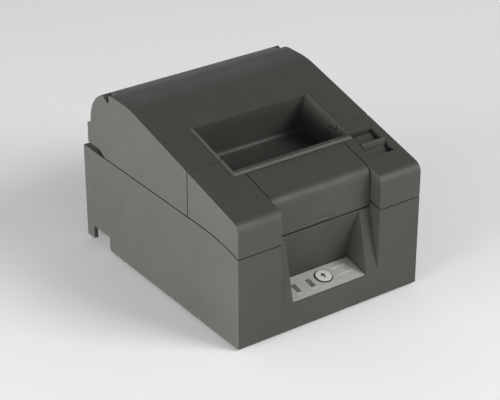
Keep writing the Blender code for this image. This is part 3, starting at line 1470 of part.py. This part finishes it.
def socket(name, site, depth, hole, mat):
    """A connector body with its mouth open to the rear."""
    centre, width, height = connector_sites()[site]
    face = REAR - BAY_LENGTH + 1.0 * MM
    high = (centre + width / 2, face, CONNECTOR_Z + height / 2)
    body = box((centre - width / 2, face - depth, CONNECTOR_Z - height / 2), high)
    hole_w, hole_h, hole_d = hole
    high = (centre + hole_w / 2, face + PAST, CONNECTOR_Z + hole_h / 2)
    cut(body, box((centre - hole_w / 2, face - hole_d, CONNECTOR_Z - hole_h / 2), high))
    return node(body, name, mat)


def switch_axis():
    centre, width, height = connector_sites()[3]
    return centre, REAR - BAY_LENGTH - 3.2 * MM, CONNECTOR_Z


def switch_housing():
    centre, width, height = connector_sites()[3]
    face = REAR - BAY_LENGTH + 1.0 * MM
    high = (centre + width / 2, face, CONNECTOR_Z + height / 2)
    body = box((centre - width / 2, face - 12 * MM, CONNECTOR_Z - height / 2), high)
    x, y, z = switch_axis()
    cut(body, box((x - 5.4 * MM, face - 10 * MM, z - 8.2 * MM), (x + 5.4 * MM, face + PAST, z + 8.2 * MM)))
    return node(body, "switch_housing", INNER_BLACK)


def power_switch():
    """A rocker that tips about its own middle."""
    x, y, z = switch_axis()
    tip = 5.2 * MM
    points = [(y - 2.5 * MM, z - 3 * MM), (y + tip - 1.6 * MM, z - 6.8 * MM), (y + tip - 0.4 * MM, z)]
    points += [(y + tip + 1.2 * MM, z + 6.8 * MM), (y - 2.5 * MM, z + 3 * MM)]
    return node(slab_x(points, x - 5 * MM, x + 5 * MM), "power_switch", INNER_BLACK)


# ---------------------------------------------------------------- the printer


def build():
    base_case()
    bottom_plate()
    corners = ("left_front", "left_rear", "right_front", "right_rear")
    for corner, (x, y) in zip(corners, foot_places()):
        rubber_foot("foot_" + corner, x, y)
    for corner, (x, y) in zip(corners, post_places()):
        bottom_screw("bottom_screw_" + corner, x, y)
    front_cover()
    flap = cutter_cover()
    hinge_y, hinge_z = flap_hinge()
    pivot("cutter_cover_axis", (0, hinge_y, hinge_z), flap)

    cover = paper_cover()
    hinge_pin("cover_hinge_pin_left", -1)
    hinge_pin("cover_hinge_pin_right", 1)
    side_plate("left_side_plate", -1)
    side_plate("right_side_plate", 1)
    chassis_beam()
    paper_guide()
    paper_bin()
    near_end_sensor()
    frame = platen_frame()
    bushes = [platen_bushing("platen_bushing_left", -1), platen_bushing("platen_bushing_right", 1)]
    blade = fixed_blade()
    pivot("paper_cover_axis", (0, HINGE_Y, HINGE_Z), cover, frame, blade, *bushes)

    idler, platen_gear, pinion, stud = feed_gears()
    pivot("platen_axis", (0, PLATEN_Y, PLATEN_AXIS_Z), platen_roller(), platen_shaft(), platen_gear)
    pivot("idler_axis", (0, *idler_axis()), idler)
    pivot("feed_motor_axis", (0, *motor_axis()), pinion)
    feed_motor()

    pivot("head_axis", (0, *head_pivot()), print_head(), heat_sink())
    head_spring("head_spring_left", -1)
    head_spring("head_spring_right", 1)

    moving_blade()
    cutter_frame()
    pivot("cutter_knob_axis", (0, *pinion_axis()), cutter_knob())
    cutter_motor()
    pivot("cutter_motor_axis", (0, *cutter_motor_axis()), cutter_motor_gear())

    pivot("open_lever_axis", (0, *lever_axis()), open_lever())
    lever_pin()
    lever_spring()

    control_panel()
    spot = on_panel(BUTTON_FROM_FRONT)
    pivot("feed_button_axis", (BUTTON_X, *spot), feed_button())
    status_light("power_light", LIGHT_X[0])
    status_light("error_light", LIGHT_X[1])
    panel_board()
    main_board()
    connector_panel()
    socket("power_inlet", 0, 16 * MM, (14 * MM, 9 * MM, 11 * MM), INNER_BLACK)
    socket("data_connector", 1, 14 * MM, (8.6 * MM, 7.6 * MM, 9 * MM), BLADE_STEEL)
    socket("drawer_jack", 2, 14 * MM, (9.8 * MM, 8.0 * MM, 10 * MM), INNER_BLACK)
    switch_housing()
    pivot("power_switch_axis", switch_axis(), power_switch())


build()
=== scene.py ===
# %% [markdown]
# # A receipt printer and its finishes
#
# The printer's shape is already made: a CAD model with every piece at its real size. This lesson
# gives it its looks. The moulded shells get softly rounded edges, every piece gets a finish made
# from nodes, and plain printed signs are laid on the control panel. The first cell loads the CAD
# model and keeps the box around it.

import json
import math

import bmesh
import bpy
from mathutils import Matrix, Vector

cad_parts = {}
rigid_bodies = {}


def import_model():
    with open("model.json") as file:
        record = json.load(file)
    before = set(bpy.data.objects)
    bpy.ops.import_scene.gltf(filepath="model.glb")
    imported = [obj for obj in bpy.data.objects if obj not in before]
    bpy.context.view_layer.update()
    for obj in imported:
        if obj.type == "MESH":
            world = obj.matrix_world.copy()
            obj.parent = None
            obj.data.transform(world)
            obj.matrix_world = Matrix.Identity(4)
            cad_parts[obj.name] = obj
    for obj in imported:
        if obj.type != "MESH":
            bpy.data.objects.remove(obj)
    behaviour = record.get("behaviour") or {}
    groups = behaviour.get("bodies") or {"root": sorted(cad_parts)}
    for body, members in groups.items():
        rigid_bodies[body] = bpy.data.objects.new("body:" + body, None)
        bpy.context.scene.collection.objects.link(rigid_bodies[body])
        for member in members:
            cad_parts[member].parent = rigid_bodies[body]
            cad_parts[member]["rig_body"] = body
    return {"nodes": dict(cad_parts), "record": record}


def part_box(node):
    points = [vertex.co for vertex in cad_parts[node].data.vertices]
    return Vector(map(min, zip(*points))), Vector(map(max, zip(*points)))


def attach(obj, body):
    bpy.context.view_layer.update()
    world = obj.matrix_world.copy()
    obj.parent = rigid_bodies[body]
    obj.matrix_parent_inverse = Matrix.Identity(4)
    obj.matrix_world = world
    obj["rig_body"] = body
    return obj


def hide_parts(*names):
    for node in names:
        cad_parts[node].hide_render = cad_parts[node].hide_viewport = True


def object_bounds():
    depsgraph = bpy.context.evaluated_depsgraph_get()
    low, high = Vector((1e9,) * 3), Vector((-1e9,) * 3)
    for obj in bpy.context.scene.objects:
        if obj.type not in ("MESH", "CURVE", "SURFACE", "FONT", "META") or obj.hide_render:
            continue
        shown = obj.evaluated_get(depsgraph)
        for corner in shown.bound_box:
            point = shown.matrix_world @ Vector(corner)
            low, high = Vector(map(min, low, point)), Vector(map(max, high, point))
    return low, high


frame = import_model()
NODES = frame["nodes"]
CAD_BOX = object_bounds()
MM = 0.001
print(len(NODES), "pieces, from", [round(v / MM) for v in CAD_BOX[0]],
      "to", [round(v / MM) for v in CAD_BOX[1]], "mm")

# %% [markdown]
# ## A helper for shader nodes
#
# Each finish is a small graph of nodes. Writing every node and link in full makes the finishes
# hard to compare, so this helper makes one node, sets its values and plugs in its links. A value
# that is another node's output becomes a link, and any other value is typed into the socket.

# %% The node helper
def node(tree, kind, settings=None, **sockets):
    """One shader node. A socket named like Base_Color here is 'Base Color' on the node."""
    made = tree.nodes.new(kind)
    for key, value in (settings or {}).items():
        setattr(made, key, value)
    for key, value in sockets.items():
        name = key.replace("_", " ")
        number = name.startswith("in") and name[2:].isdigit()
        socket = made.inputs[int(name[2:])] if number else made.inputs[name]
        if isinstance(value, bpy.types.NodeSocket):
            tree.links.new(value, socket)
        else:
            socket.default_value = value
    return made


def new_finish(name):
    """A material with no nodes but the one that gives the point on the piece, in metres."""
    material = bpy.data.materials.new(name)
    material.use_nodes = True
    tree = material.node_tree
    tree.nodes.clear()
    place = node(tree, "ShaderNodeTexCoord").outputs["Object"]
    return material, tree, place


def linear(red, green, blue):
    """A colour as seen on a screen, 0 to 255, turned into the linear value that nodes use."""
    def one(value):
        value /= 255
        return value / 12.92 if value <= 0.04045 else ((value + 0.055) / 1.055) ** 2.4
    return (one(red), one(green), one(blue), 1.0)


print("linear value of a mid grey:", round(linear(128, 128, 128)[0], 3))

# %% [markdown]
# ## Fine grain, cloudy tone and painted edge highlights
#
# Every finish on this printer is built from the same three effects. The first is a very fine
# grain: mould tools are spark-eroded or etched, and the plastic comes out with bumps a third of a
# millimetre wide. The second is a faint cloudiness, because no plastic or metal is one even tone.
# The third is a painted highlight at the edges: the colour is lightened there and stands in for
# the light that catches a rounded edge. The edges are found with the Bevel node: it gives the
# normal a rounded edge would have, and where that differs from the true normal there is an edge.
# An edge mask could be painted by hand instead, but this one follows the shape if the shape
# changes.

# %% Grain, tone and edges
BEVEL_RAYS = 4
NOISE_LOW, NOISE_HIGH = 0.3, 0.7  # the middle of a noise, which is spread over the whole range


def clouds(tree, place, scale, low, high, detail=3.0):
    """A smooth noise, from low to high, with features about 1/scale metres wide."""
    noise = node(tree, "ShaderNodeTexNoise", Vector=place, Scale=scale, Detail=detail,
                 Roughness=0.55)
    spread = node(tree, "ShaderNodeMapRange", Value=noise.outputs[0])
    spread.inputs["From Min"].default_value = NOISE_LOW
    spread.inputs["From Max"].default_value = NOISE_HIGH
    spread.inputs["To Min"].default_value = low
    spread.inputs["To Max"].default_value = high
    return spread.outputs[0]


def edge_mask(tree, width):
    """0 on the flats of a piece, rising towards its edges."""
    rounded = node(tree, "ShaderNodeBevel", {"samples": BEVEL_RAYS}, Radius=width)
    flat = node(tree, "ShaderNodeNewGeometry")
    same = node(tree, "ShaderNodeVectorMath", {"operation": "DOT_PRODUCT"},
                in0=rounded.outputs[0], in1=flat.outputs["Normal"])
    return node(tree, "ShaderNodeMath", {"operation": "SUBTRACT", "use_clamp": True},
                in0=1.0, in1=same.outputs["Value"]).outputs[0]


def grain_bump(tree, place, scale, depth, strength):
    """Fine bumps in the surface: scale per metre, depth in metres."""
    noise = node(tree, "ShaderNodeTexNoise", Vector=place, Scale=scale, Detail=2.0,
                 Roughness=0.6)
    return node(tree, "ShaderNodeBump", Strength=strength, Distance=depth,
                Height=noise.outputs[0]).outputs[0]


def mixed(tree, amount, first, second):
    """A colour between two colours or colour outputs."""
    return node(tree, "ShaderNodeMix", {"data_type": "RGBA"}, in0=amount, in6=first,
                in7=second).outputs[2]


print("the three shared effects are ready")

# %% [markdown]
# ## Moulded plastic
#
# The casing is dark warm-grey ABS with a matte etched face. It reads darker from above than from
# the sides, because its rough skin scatters the pale table's light at low angles. So the finish
# is a dark colour with a rough gloss over it, not a mid grey. The same recipe, with other
# colours, makes the inner plastic, the pale control panel, the button, the rubber, the circuit
# boards and the printing inks.

# %% Moulded plastic
CLOUD_SCALE = 38.0  # patches of tone about 26 mm wide
SPECK_SCALE = 1300.0  # specks under a millimetre wide
SPECK_SHARE = 0.75  # how far a speck goes from the base colour to its own
SPECK_SHADE = 0.78
GLOSS_SCALE = 60.0
GLOSS_SPREAD = 0.05
# painted highlight: how far in from an edge the colour is lightened
HIGHLIGHT_EDGE_RADIUS = 0.0006
GRAIN_STRENGTH = 0.35


def toned(colour, factor):
    """A colour made darker or lighter, with no channel past 1."""
    return tuple(min(1.0, c * factor) for c in colour[:3]) + (1.0,)


def moulded(name, colour, roughness, grain=3200.0, depth=0.00006, cloud=0.10, edge_highlight=0.35,
            gloss=0.5):
    """Matte moulded plastic in one colour."""
    material, tree, place = new_finish(name)
    patches = clouds(tree, place, CLOUD_SCALE, 0.0, 1.0)
    base = mixed(tree, patches, toned(colour, 1 - cloud), toned(colour, 1 + cloud))
    speck = clouds(tree, place, SPECK_SCALE, 0.0, SPECK_SHARE, detail=2.0)
    base = mixed(tree, speck, base, toned(colour, SPECK_SHADE))
    # painted highlight: the colour is lightened towards the edges, standing in for edge light
    base = mixed(tree, edge_mask(tree, HIGHLIGHT_EDGE_RADIUS), base, toned(colour, 1 + edge_highlight))
    rough = clouds(tree, place, GLOSS_SCALE, roughness - GLOSS_SPREAD, roughness + GLOSS_SPREAD)
    shader = node(tree, "ShaderNodeBsdfPrincipled", Base_Color=base, Roughness=rough,
                  Normal=grain_bump(tree, place, grain, depth, GRAIN_STRENGTH))
    shader.inputs["Specular IOR Level"].default_value = gloss
    node(tree, "ShaderNodeOutputMaterial", Surface=shader.outputs[0])
    return material


CASING_COLOUR = linear(62, 63, 58)
casing = moulded("dark_grey_casing", CASING_COLOUR, 0.58)
inner = moulded("black_inner_plastic", linear(40, 40, 40), 0.55)
panel = moulded("pale_grey_panel", linear(186, 186, 182), 0.45, cloud=0.03, edge_highlight=0.05)
button = moulded("white_button", linear(226, 226, 222), 0.35, cloud=0.02, edge_highlight=0.02)
gear_white = moulded("natural_gear_plastic", linear(205, 202, 188), 0.42, cloud=0.05, edge_highlight=0.1)
knob_green = moulded("green_knob_plastic", linear(52, 118, 84), 0.42)
print("casing colour:", [round(c, 3) for c in CASING_COLOUR[:3]])

# %% [markdown]
# ## Metal, rubber and the small materials
#
# Inside there is zinc-plated sheet steel, ground steel for shafts and blades, and a cast alloy
# heat sink. Sheet steel shows the streaks of the rolling mill, which a noise stretched along one
# axis gives. Rubber is nearly black with almost no gloss. The lights are smoked windows over a
# dark lamp, and the circuit boards are green with a glossy solder mask.

# %% Metal, rubber and boards
# painted highlight: the bright metal colour laid along the edges
METAL_EDGE_HIGHLIGHT = (0.86, 0.86, 0.85, 1.0)
STREAK_SHADE = 0.82
STREAK_GLOSS = (-0.07, 0.09)  # added to the roughness, from streak to streak
METAL_HIGHLIGHT_RADIUS = 0.0003
METAL_GRAIN, METAL_DEPTH, METAL_STRENGTH = 900.0, 0.00002, 0.25
WINDOW_CLOUDS, WINDOW_SHADE = 300.0, 0.6
WINDOW_GLOSS, WINDOW_GLOSS_SCALE = (0.10, 0.22), 400.0
WINDOW_GRAIN, WINDOW_DEPTH, WINDOW_STRENGTH = 500.0, 0.00002, 0.2


def metal(name, colour, roughness, stretch=(1.0, 12.0, 1.0), streak=220.0):
    """Bare metal with fine streaks in one direction."""
    material, tree, place = new_finish(name)
    drawn = node(tree, "ShaderNodeMapping", Vector=place, Scale=stretch).outputs[0]
    lines = clouds(tree, drawn, streak, 0.0, 1.0, detail=5.0)
    base = mixed(tree, lines, toned(colour, STREAK_SHADE), colour)
    # painted highlight: the colour goes to bright metal towards the edges
    base = mixed(tree, edge_mask(tree, METAL_HIGHLIGHT_RADIUS), base, METAL_EDGE_HIGHLIGHT)
    rough = clouds(tree, drawn, streak, *(roughness + step for step in STREAK_GLOSS))
    grain = grain_bump(tree, drawn, METAL_GRAIN, METAL_DEPTH, METAL_STRENGTH)
    shader = node(tree, "ShaderNodeBsdfPrincipled", Base_Color=base, Roughness=rough,
                  Metallic=1.0, Normal=grain)
    node(tree, "ShaderNodeOutputMaterial", Surface=shader.outputs[0])
    return material


def smoked_window(name, colour):
    """A dark glossy window with a lamp behind it that is switched off."""
    material, tree, place = new_finish(name)
    patches = clouds(tree, place, WINDOW_CLOUDS, 0.0, 1.0)
    base = mixed(tree, patches, colour, toned(colour, WINDOW_SHADE))
    rough = clouds(tree, place, WINDOW_GLOSS_SCALE, *WINDOW_GLOSS)
    grain = grain_bump(tree, place, WINDOW_GRAIN, WINDOW_DEPTH, WINDOW_STRENGTH)
    shader = node(tree, "ShaderNodeBsdfPrincipled", Base_Color=base, Roughness=rough,
                  Normal=grain)
    node(tree, "ShaderNodeOutputMaterial", Surface=shader.outputs[0])
    return material


sheet = metal("zinc_plated_sheet", (0.50, 0.51, 0.51, 1.0), 0.38)
bright = metal("ground_steel", (0.62, 0.62, 0.61, 1.0), 0.22, stretch=(10.0, 1.0, 1.0))
alloy = metal("cast_alloy", (0.47, 0.48, 0.49, 1.0), 0.45, stretch=(1.0, 1.0, 1.0), streak=420.0)
platen_rubber = moulded("platen_rubber", linear(34, 34, 35), 0.70, cloud=0.15, edge_highlight=0.2)
foot_rubber = moulded("foot_rubber", linear(38, 37, 36), 0.80, cloud=0.2, edge_highlight=0.3)
board_green = moulded("circuit_board", linear(22, 84, 52), 0.30, cloud=0.18, edge_highlight=0.6)
ceramic = moulded("print_head_ceramic", linear(196, 190, 176), 0.25, cloud=0.04, edge_highlight=0.05)
lens = smoked_window("smoked_light_window", linear(118, 118, 114))
print("metals, rubber, boards and windows are ready")

# %% [markdown]
# ## Give every piece its finish
#
# The CAD record says which material each piece is made of, by a slot name. One table from slot
# to finish therefore dresses all the pieces at once, and a piece added later is dressed too.

# %% Dress the pieces
FINISH = {
    "casing": casing, "panel": panel, "button": button, "lens": lens,
    "inner_plastic": inner, "sheet_steel": sheet, "bright_steel": bright, "alloy": alloy,
    "platen_rubber": platen_rubber, "foot_rubber": foot_rubber, "gear_plastic": gear_white,
    "knob_plastic": knob_green, "board": board_green, "ceramic": ceramic,
}
SLOT_OF = {part["node"]: part["material_slot"] for part in frame["record"]["subparts"]}
for name, piece in NODES.items():
    piece.data.materials.clear()
    piece.data.materials.append(FINISH[SLOT_OF[name]])
print("dressed", len(SLOT_OF), "pieces in", len(FINISH), "finishes")

# %% [markdown]
# ## Softly rounded mould edges
#
# No moulded edge is truly sharp: it has a radius of about half a millimetre, and the thin bright
# line of light along it is what makes a shell look real. The rounding could be done in the CAD
# model, but it would multiply its faces. Here each outer shell is copied, its flat faces are
# joined back into whole faces, and a Bevel modifier rounds only the corners sharper than 30
# degrees. The copy then stands for the CAD piece.

# %% Round the shells
SHARP = math.radians(30)
SAME_PLACE = 2e-6  # corners nearer than this are one corner
FLAT = math.radians(0.4)  # faces that lean less than this make one face


def rounded_copy(name, width, segments=2):
    """A copy of a CAD piece with its sharp edges rounded, which is shown in its place."""
    source = NODES[name]
    mesh = bpy.data.meshes.new(name + "_skin")
    work = bmesh.new()
    work.from_mesh(source.data)
    bmesh.ops.remove_doubles(work, verts=work.verts, dist=SAME_PLACE)
    bmesh.ops.dissolve_limit(work, angle_limit=FLAT, verts=work.verts, edges=work.edges)
    work.to_mesh(mesh)
    work.free()
    if "custom_normal" in mesh.attributes:
        mesh.attributes.remove(mesh.attributes["custom_normal"])
    mesh.shade_smooth()
    mesh.set_sharp_from_angle(angle=SHARP)
    mesh.materials.clear()
    mesh.materials.append(FINISH[SLOT_OF[name]])
    skin = bpy.data.objects.new(name + "_skin", mesh)
    bpy.context.scene.collection.objects.link(skin)
    rounding = skin.modifiers.new("rounded edges", "BEVEL")
    rounding.width = width
    rounding.segments = segments
    rounding.limit_method = "ANGLE"
    rounding.angle_limit = SHARP
    rounding.harden_normals = True
    rounding.use_clamp_overlap = True
    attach(skin, source["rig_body"])
    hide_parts(name)
    return skin


SHELLS = {
    "base_case": 0.00045, "front_cover": 0.00045, "paper_cover": 0.00045,
    "cutter_cover": 0.0004, "open_lever": 0.0003, "control_panel": 0.00025,
    "feed_button": 0.0003,
}
skins = {name: rounded_copy(name, width) for name, width in SHELLS.items()}
print("rounded", ", ".join(skins))

# %% [markdown]
# ## Laying print on a leaning panel
#
# The control panel leans back a little, and its printing lies flat on it. A sign could be painted
# into the panel's material, but as a shape it stays crisp at any distance. So each sign is drawn
# as flat outlines seen from above, and a helper lifts every point to the panel's own height there
# and gives the outlines a thickness of a few hundredths of a millimetre.

# %% The print helper
PANEL_RISE, PANEL_RUN = 4.2, 21.9  # the panel's lean in millimetres, up and back
LEAN = math.atan2(PANEL_RISE, PANEL_RUN)
INK = 0.00006
PANEL_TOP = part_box("control_panel")[1]
BUTTON_LOW, BUTTON_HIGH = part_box("feed_button")


def middle_of(name):
    """Centre of the box round a piece."""
    low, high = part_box(name)
    return (low + high) / 2


def printed(name, shapes, material, body="base", start=PANEL_TOP):
    """Flat shapes, each a list of (x, y) points, laid on the leaning face that holds start."""
    work = bmesh.new()
    for points in shapes:
        corners = [(x, y, start.z + (y - start.y) * math.tan(LEAN)) for x, y in points]
        work.faces.new([work.verts.new(corner) for corner in corners])
    thick = bmesh.ops.extrude_face_region(work, geom=work.faces[:])
    tops = [v for v in thick["geom"] if isinstance(v, bmesh.types.BMVert)]
    bmesh.ops.translate(work, verts=tops, vec=(0, 0, INK))
    bmesh.ops.recalc_face_normals(work, faces=work.faces[:])
    mesh = bpy.data.meshes.new(name)
    work.to_mesh(mesh)
    work.free()
    mesh.materials.append(material)
    sign = bpy.data.objects.new(name, mesh)
    bpy.context.scene.collection.objects.link(sign)
    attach(sign, body)


print("the panel leans", round(math.degrees(LEAN), 1), "degrees")

# %% [markdown]
# ## A ring round the feed button
#
# A thin dark ring is printed round the button and makes it easy to find. It could be a torus, but
# print has no height to speak of, so it is a run of flat four-cornered pieces. Seen from above a
# leaning circle is a little short from front to back, which the cosine of the lean allows for.

# %% The ring
RING_GAP = 0.25 * MM
RING_WIDE = 0.55 * MM


def ring_strip(centre, inner, outer, steps=48):
    """A flat ring as a run of four-cornered pieces."""
    shapes = []
    for step in range(steps):
        near, far = (math.tau * k / steps for k in (step, step + 1))
        corners = ((inner, near), (outer, near), (outer, far), (inner, far))
        shapes.append([(centre[0] + r * math.cos(a), centre[1] + r * math.sin(a) * math.cos(LEAN))
                       for r, a in corners])
    return shapes


# dark ink for the print, and also the painted shade on the button's side wall
dark_ink_and_painted_shade = moulded("dark_ink_and_painted_shade", linear(52, 52, 50), 0.6, edge_highlight=0.0)
pale_ink = moulded("pale_ink", linear(214, 214, 210), 0.6, edge_highlight=0.0)
button_spot = middle_of("feed_button")
button_radius = (BUTTON_HIGH.x - BUTTON_LOW.x) / 2
ring_inner = button_radius + RING_GAP
printed("button_ring", ring_strip(button_spot, ring_inner, ring_inner + RING_WIDE), dark_ink_and_painted_shade)
print("ring round a button", round(2 * button_radius / MM, 1), "mm wide")

# %% [markdown]
# ## Signs in front of the lights
#
# Each light has a small sign in front of it that says what it means. Words in a language and a
# maker's own type don't belong on a shared part, so three short pale bars stand in for them.

# %% Light signs
SIGN_AHEAD = 2.4 * MM
SIGN_PITCH = 1.5 * MM
SIGN_BAR = (1.1 * MM, 0.8 * MM)


def bar(x, y, width, depth):
    """A short printed bar centred on a point."""
    return [(x - width / 2, y - depth / 2), (x + width / 2, y - depth / 2),
            (x + width / 2, y + depth / 2), (x - width / 2, y + depth / 2)]


for number, light in enumerate(("power_light", "error_light")):
    across = middle_of(light).x
    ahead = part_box(light)[0].y - SIGN_AHEAD
    bars = [bar(across + k * SIGN_PITCH, ahead, *SIGN_BAR) for k in (-1, 0, 1)]
    printed("light_sign_%d" % number, bars, pale_ink)
print("two signs", round(SIGN_AHEAD / MM, 1), "mm in front of the lights")

# %% [markdown]
# ## The button's face
#
# Only the face of the feed button is left pale: its side wall sits in the dark gap round it, so
# the faces of the copy that don't look the way the panel does take the dark ink as painted shade.
# On the face goes a plain arrow for feeding paper. It rides on the button, so that it goes down
# with it, and it starts from the highest corner of the button's face.

# %% The button's skirt and arrow
LOOKS_OUT = 0.5  # the cosine of 60 degrees: a face turned further away is side wall
TIP_AHEAD = 2.6 * MM  # from the middle of the face to the arrow's tip
HEAD_LONG, HEAD_HALF = 2.4 * MM, 2.2 * MM
SHAFT_BACK = 3.6 * MM  # from the tip to the middle of the shaft
SHAFT = (1.3 * MM, 2.0 * MM)


def painted_shade_side_wall():
    """The button's side wall in the dark material as painted shade, so only its face reads pale.
    """
    mesh = skins["feed_button"].data
    mesh.materials.append(dark_ink_and_painted_shade)
    outward = Vector((0, -math.sin(LEAN), math.cos(LEAN)))
    # painted shade: faces turned away from the panel's face take the dark material
    for face in mesh.polygons:
        if face.normal.dot(outward) < LOOKS_OUT:
            face.material_index = 1


painted_shade_side_wall()
rear_edge = max(NODES["feed_button"].data.vertices, key=lambda v: v.co.z).co
face_y = rear_edge.y - button_radius * math.cos(LEAN)
tip = face_y + TIP_AHEAD
head_y = tip - HEAD_LONG
head = [(button_spot.x - HEAD_HALF, head_y), (button_spot.x + HEAD_HALF, head_y),
        (button_spot.x, tip)]
shaft = bar(button_spot.x, tip - SHAFT_BACK, *SHAFT)
printed("feed_arrow", [head, shaft], dark_ink_and_painted_shade, body="feed_button", start=rear_edge)
print("arrow", round((tip - shaft[0][1]) / MM, 1), "mm long on the button")

# %% [markdown]
# ## Signs at the right of the panel
#
# The right of the panel carries two lines of pale print. A row of five short bars and one long
# thin bar under it keep their weight and place, and say nothing.

# %% Right-hand signs
PANEL_MARGIN = 3.0 * MM
UPPER_DOWN, LOWER_DOWN = 5.6 * MM, 12.5 * MM  # from the panel's rear edge
FIRST_BAR, BAR_PITCH, ROW_BAR = 4.5 * MM, 2.3 * MM, (1.5 * MM, 2.0 * MM)
LINE_ASIDE, LINE_SPARE, LINE_DEEP = 1.6 * MM, 6 * MM, 0.9 * MM

right = BUTTON_HIGH.x
end = PANEL_TOP.x - PANEL_MARGIN
upper_row, lower_row = PANEL_TOP.y - UPPER_DOWN, PANEL_TOP.y - LOWER_DOWN
rows = [bar(right + FIRST_BAR + k * BAR_PITCH, upper_row, *ROW_BAR) for k in range(5)]
rows.append(bar((right + end) / 2 + LINE_ASIDE, lower_row, end - right - LINE_SPARE, LINE_DEEP))
printed("panel_sign", rows, pale_ink)
print("signs printed from x =", round(right / MM, 1), "to", round(end / MM, 1), "mm")

# %% [markdown]
# ## The floor
#
# The printer stands on pale card. A curved sweep would hide the horizon, but the camera looks
# down and never sees one, so a big flat square is enough. A faint cloudiness keeps it from
# looking like a drawing.

# %% The floor
FLOOR_HALF = 3.0
FLOOR_SHADE, FLOOR_SPREAD, FLOOR_CLOUDS = 0.97, 0.01, 2.0
FLOOR_ROUGH, FLOOR_GLOSS = 0.9, 0.1
BLACK, WHITE = (0.0, 0.0, 0.0, 1.0), (1.0, 1.0, 1.0, 1.0)


def card(name, shade):
    """A plain pale square that just touches the feet."""
    material, tree, place = new_finish(name + "_paper")
    tone = clouds(tree, place, FLOOR_CLOUDS, shade - FLOOR_SPREAD, shade + FLOOR_SPREAD)
    shader = node(tree, "ShaderNodeBsdfPrincipled", Base_Color=mixed(tree, tone, BLACK, WHITE),
                  Roughness=FLOOR_ROUGH)
    shader.inputs["Specular IOR Level"].default_value = FLOOR_GLOSS
    node(tree, "ShaderNodeOutputMaterial", Surface=shader.outputs[0])
    mesh = bpy.data.meshes.new(name)
    low = CAD_BOX[0].z
    corners = [(-1, -1), (1, -1), (1, 1), (-1, 1)]
    mesh.from_pydata([(x * FLOOR_HALF, y * FLOOR_HALF, low) for x, y in corners], [],
                     [(0, 1, 2, 3)])
    mesh.materials.append(material)
    floor = bpy.data.objects.new(name, mesh)
    bpy.context.scene.collection.objects.link(floor)


card("floor", FLOOR_SHADE)
print("floor at", round(CAD_BOX[0].z / MM, 2), "mm")

# %% [markdown]
# ## The room and the lights
#
# The light is broad and soft. A long low softbox stands on the left, and a square one high at the
# front right. The room round them is pale near the horizon and dark overhead, so the sloping tops
# stay darker than the upright sides. An even grey room would light the slopes and the sides alike.

# %% The room and the lights
ROOM_LOW, ROOM_HIGH = 1.0, 0.12
DIM_FROM, DIM_TO = 0.42, 0.66  # the sine of 25 and of 41 degrees above the horizon
LEFT_PLACE, LEFT_WIDE, LEFT_TALL, LEFT_POWER = (-1.4, -0.1, 0.14), 1.1, 0.26, 34.0
FRONT_PLACE, FRONT_WIDE, FRONT_POWER = (0.90, -1.45, 1.20), 0.9, 25.0


def room_light():
    """Surroundings that are pale near the horizon and darker overhead."""
    world = bpy.data.worlds.new("soft_room")
    world.use_nodes = True
    tree = world.node_tree
    tree.nodes.clear()
    way = node(tree, "ShaderNodeTexCoord").outputs["Generated"]
    height = node(tree, "ShaderNodeSeparateXYZ", Vector=way).outputs["Z"]
    level = node(tree, "ShaderNodeMapRange", {"interpolation_type": "SMOOTHSTEP"}, Value=height)
    for key, value in (("From Min", DIM_FROM), ("From Max", DIM_TO),
                       ("To Min", ROOM_LOW), ("To Max", ROOM_HIGH)):
        level.inputs[key].default_value = value
    glow = node(tree, "ShaderNodeBackground", Color=WHITE, Strength=level.outputs[0])
    node(tree, "ShaderNodeOutputWorld", Surface=glow.outputs[0])
    bpy.context.scene.world = world


def soft_light(name, place, target, size, power, tall=None):
    """A softbox that looks at the target: square, or a low strip if tall is given."""
    data = bpy.data.lights.new(name, "AREA")
    data.shape = "RECTANGLE"
    data.size = size
    data.size_y = tall or size
    data.energy = power
    light = bpy.data.objects.new(name, data)
    light.location = place
    light.rotation_euler = (Vector(target) - Vector(place)).to_track_quat("-Z", "Y").to_euler()
    bpy.context.scene.collection.objects.link(light)


CENTRE = (CAD_BOX[0] + CAD_BOX[1]) / 2
room_light()
soft_light("left_softbox", LEFT_PLACE, CENTRE, LEFT_WIDE, LEFT_POWER, tall=LEFT_TALL)
soft_light("front_softbox", FRONT_PLACE, CENTRE, FRONT_WIDE, FRONT_POWER)
print("room and two softboxes around", [round(v / MM) for v in CENTRE], "mm")

# %% [markdown]
# ## The camera
#
# The camera looks down on the front left corner through a long lens, which keeps the printer's
# upright edges nearly parallel. It could be aimed by a Track To constraint, but a heading and a
# tilt say exactly where it looks.

# %% The camera
EYE = Vector((-0.582609, -0.821856, 0.583937))
HEADING = 0.618399  # radians, from straight back towards the right
TILT = 0.490618  # radians, downwards
LENS = 121.301
SENSOR = 36.0
NEAREST, FARTHEST = 0.05, 20.0


def add_camera():
    """The camera, looking down on the printer's front left corner."""
    data = bpy.data.cameras.new("camera")
    data.lens = LENS
    data.sensor_width = SENSOR
    data.clip_start, data.clip_end = NEAREST, FARTHEST
    camera = bpy.data.objects.new("camera", data)
    ahead = Vector((math.sin(HEADING) * math.cos(TILT), math.cos(HEADING) * math.cos(TILT),
                    -math.sin(TILT)))
    camera.location = EYE
    camera.rotation_euler = ahead.to_track_quat("-Z", "Y").to_euler()
    bpy.context.scene.collection.objects.link(camera)
    bpy.context.scene.camera = camera


add_camera()
bpy.context.scene.view_settings.view_transform = "Standard"
bpy.context.scene.view_settings.look = "None"
print("camera", round((EYE - CENTRE).length, 3), "m from the printer")
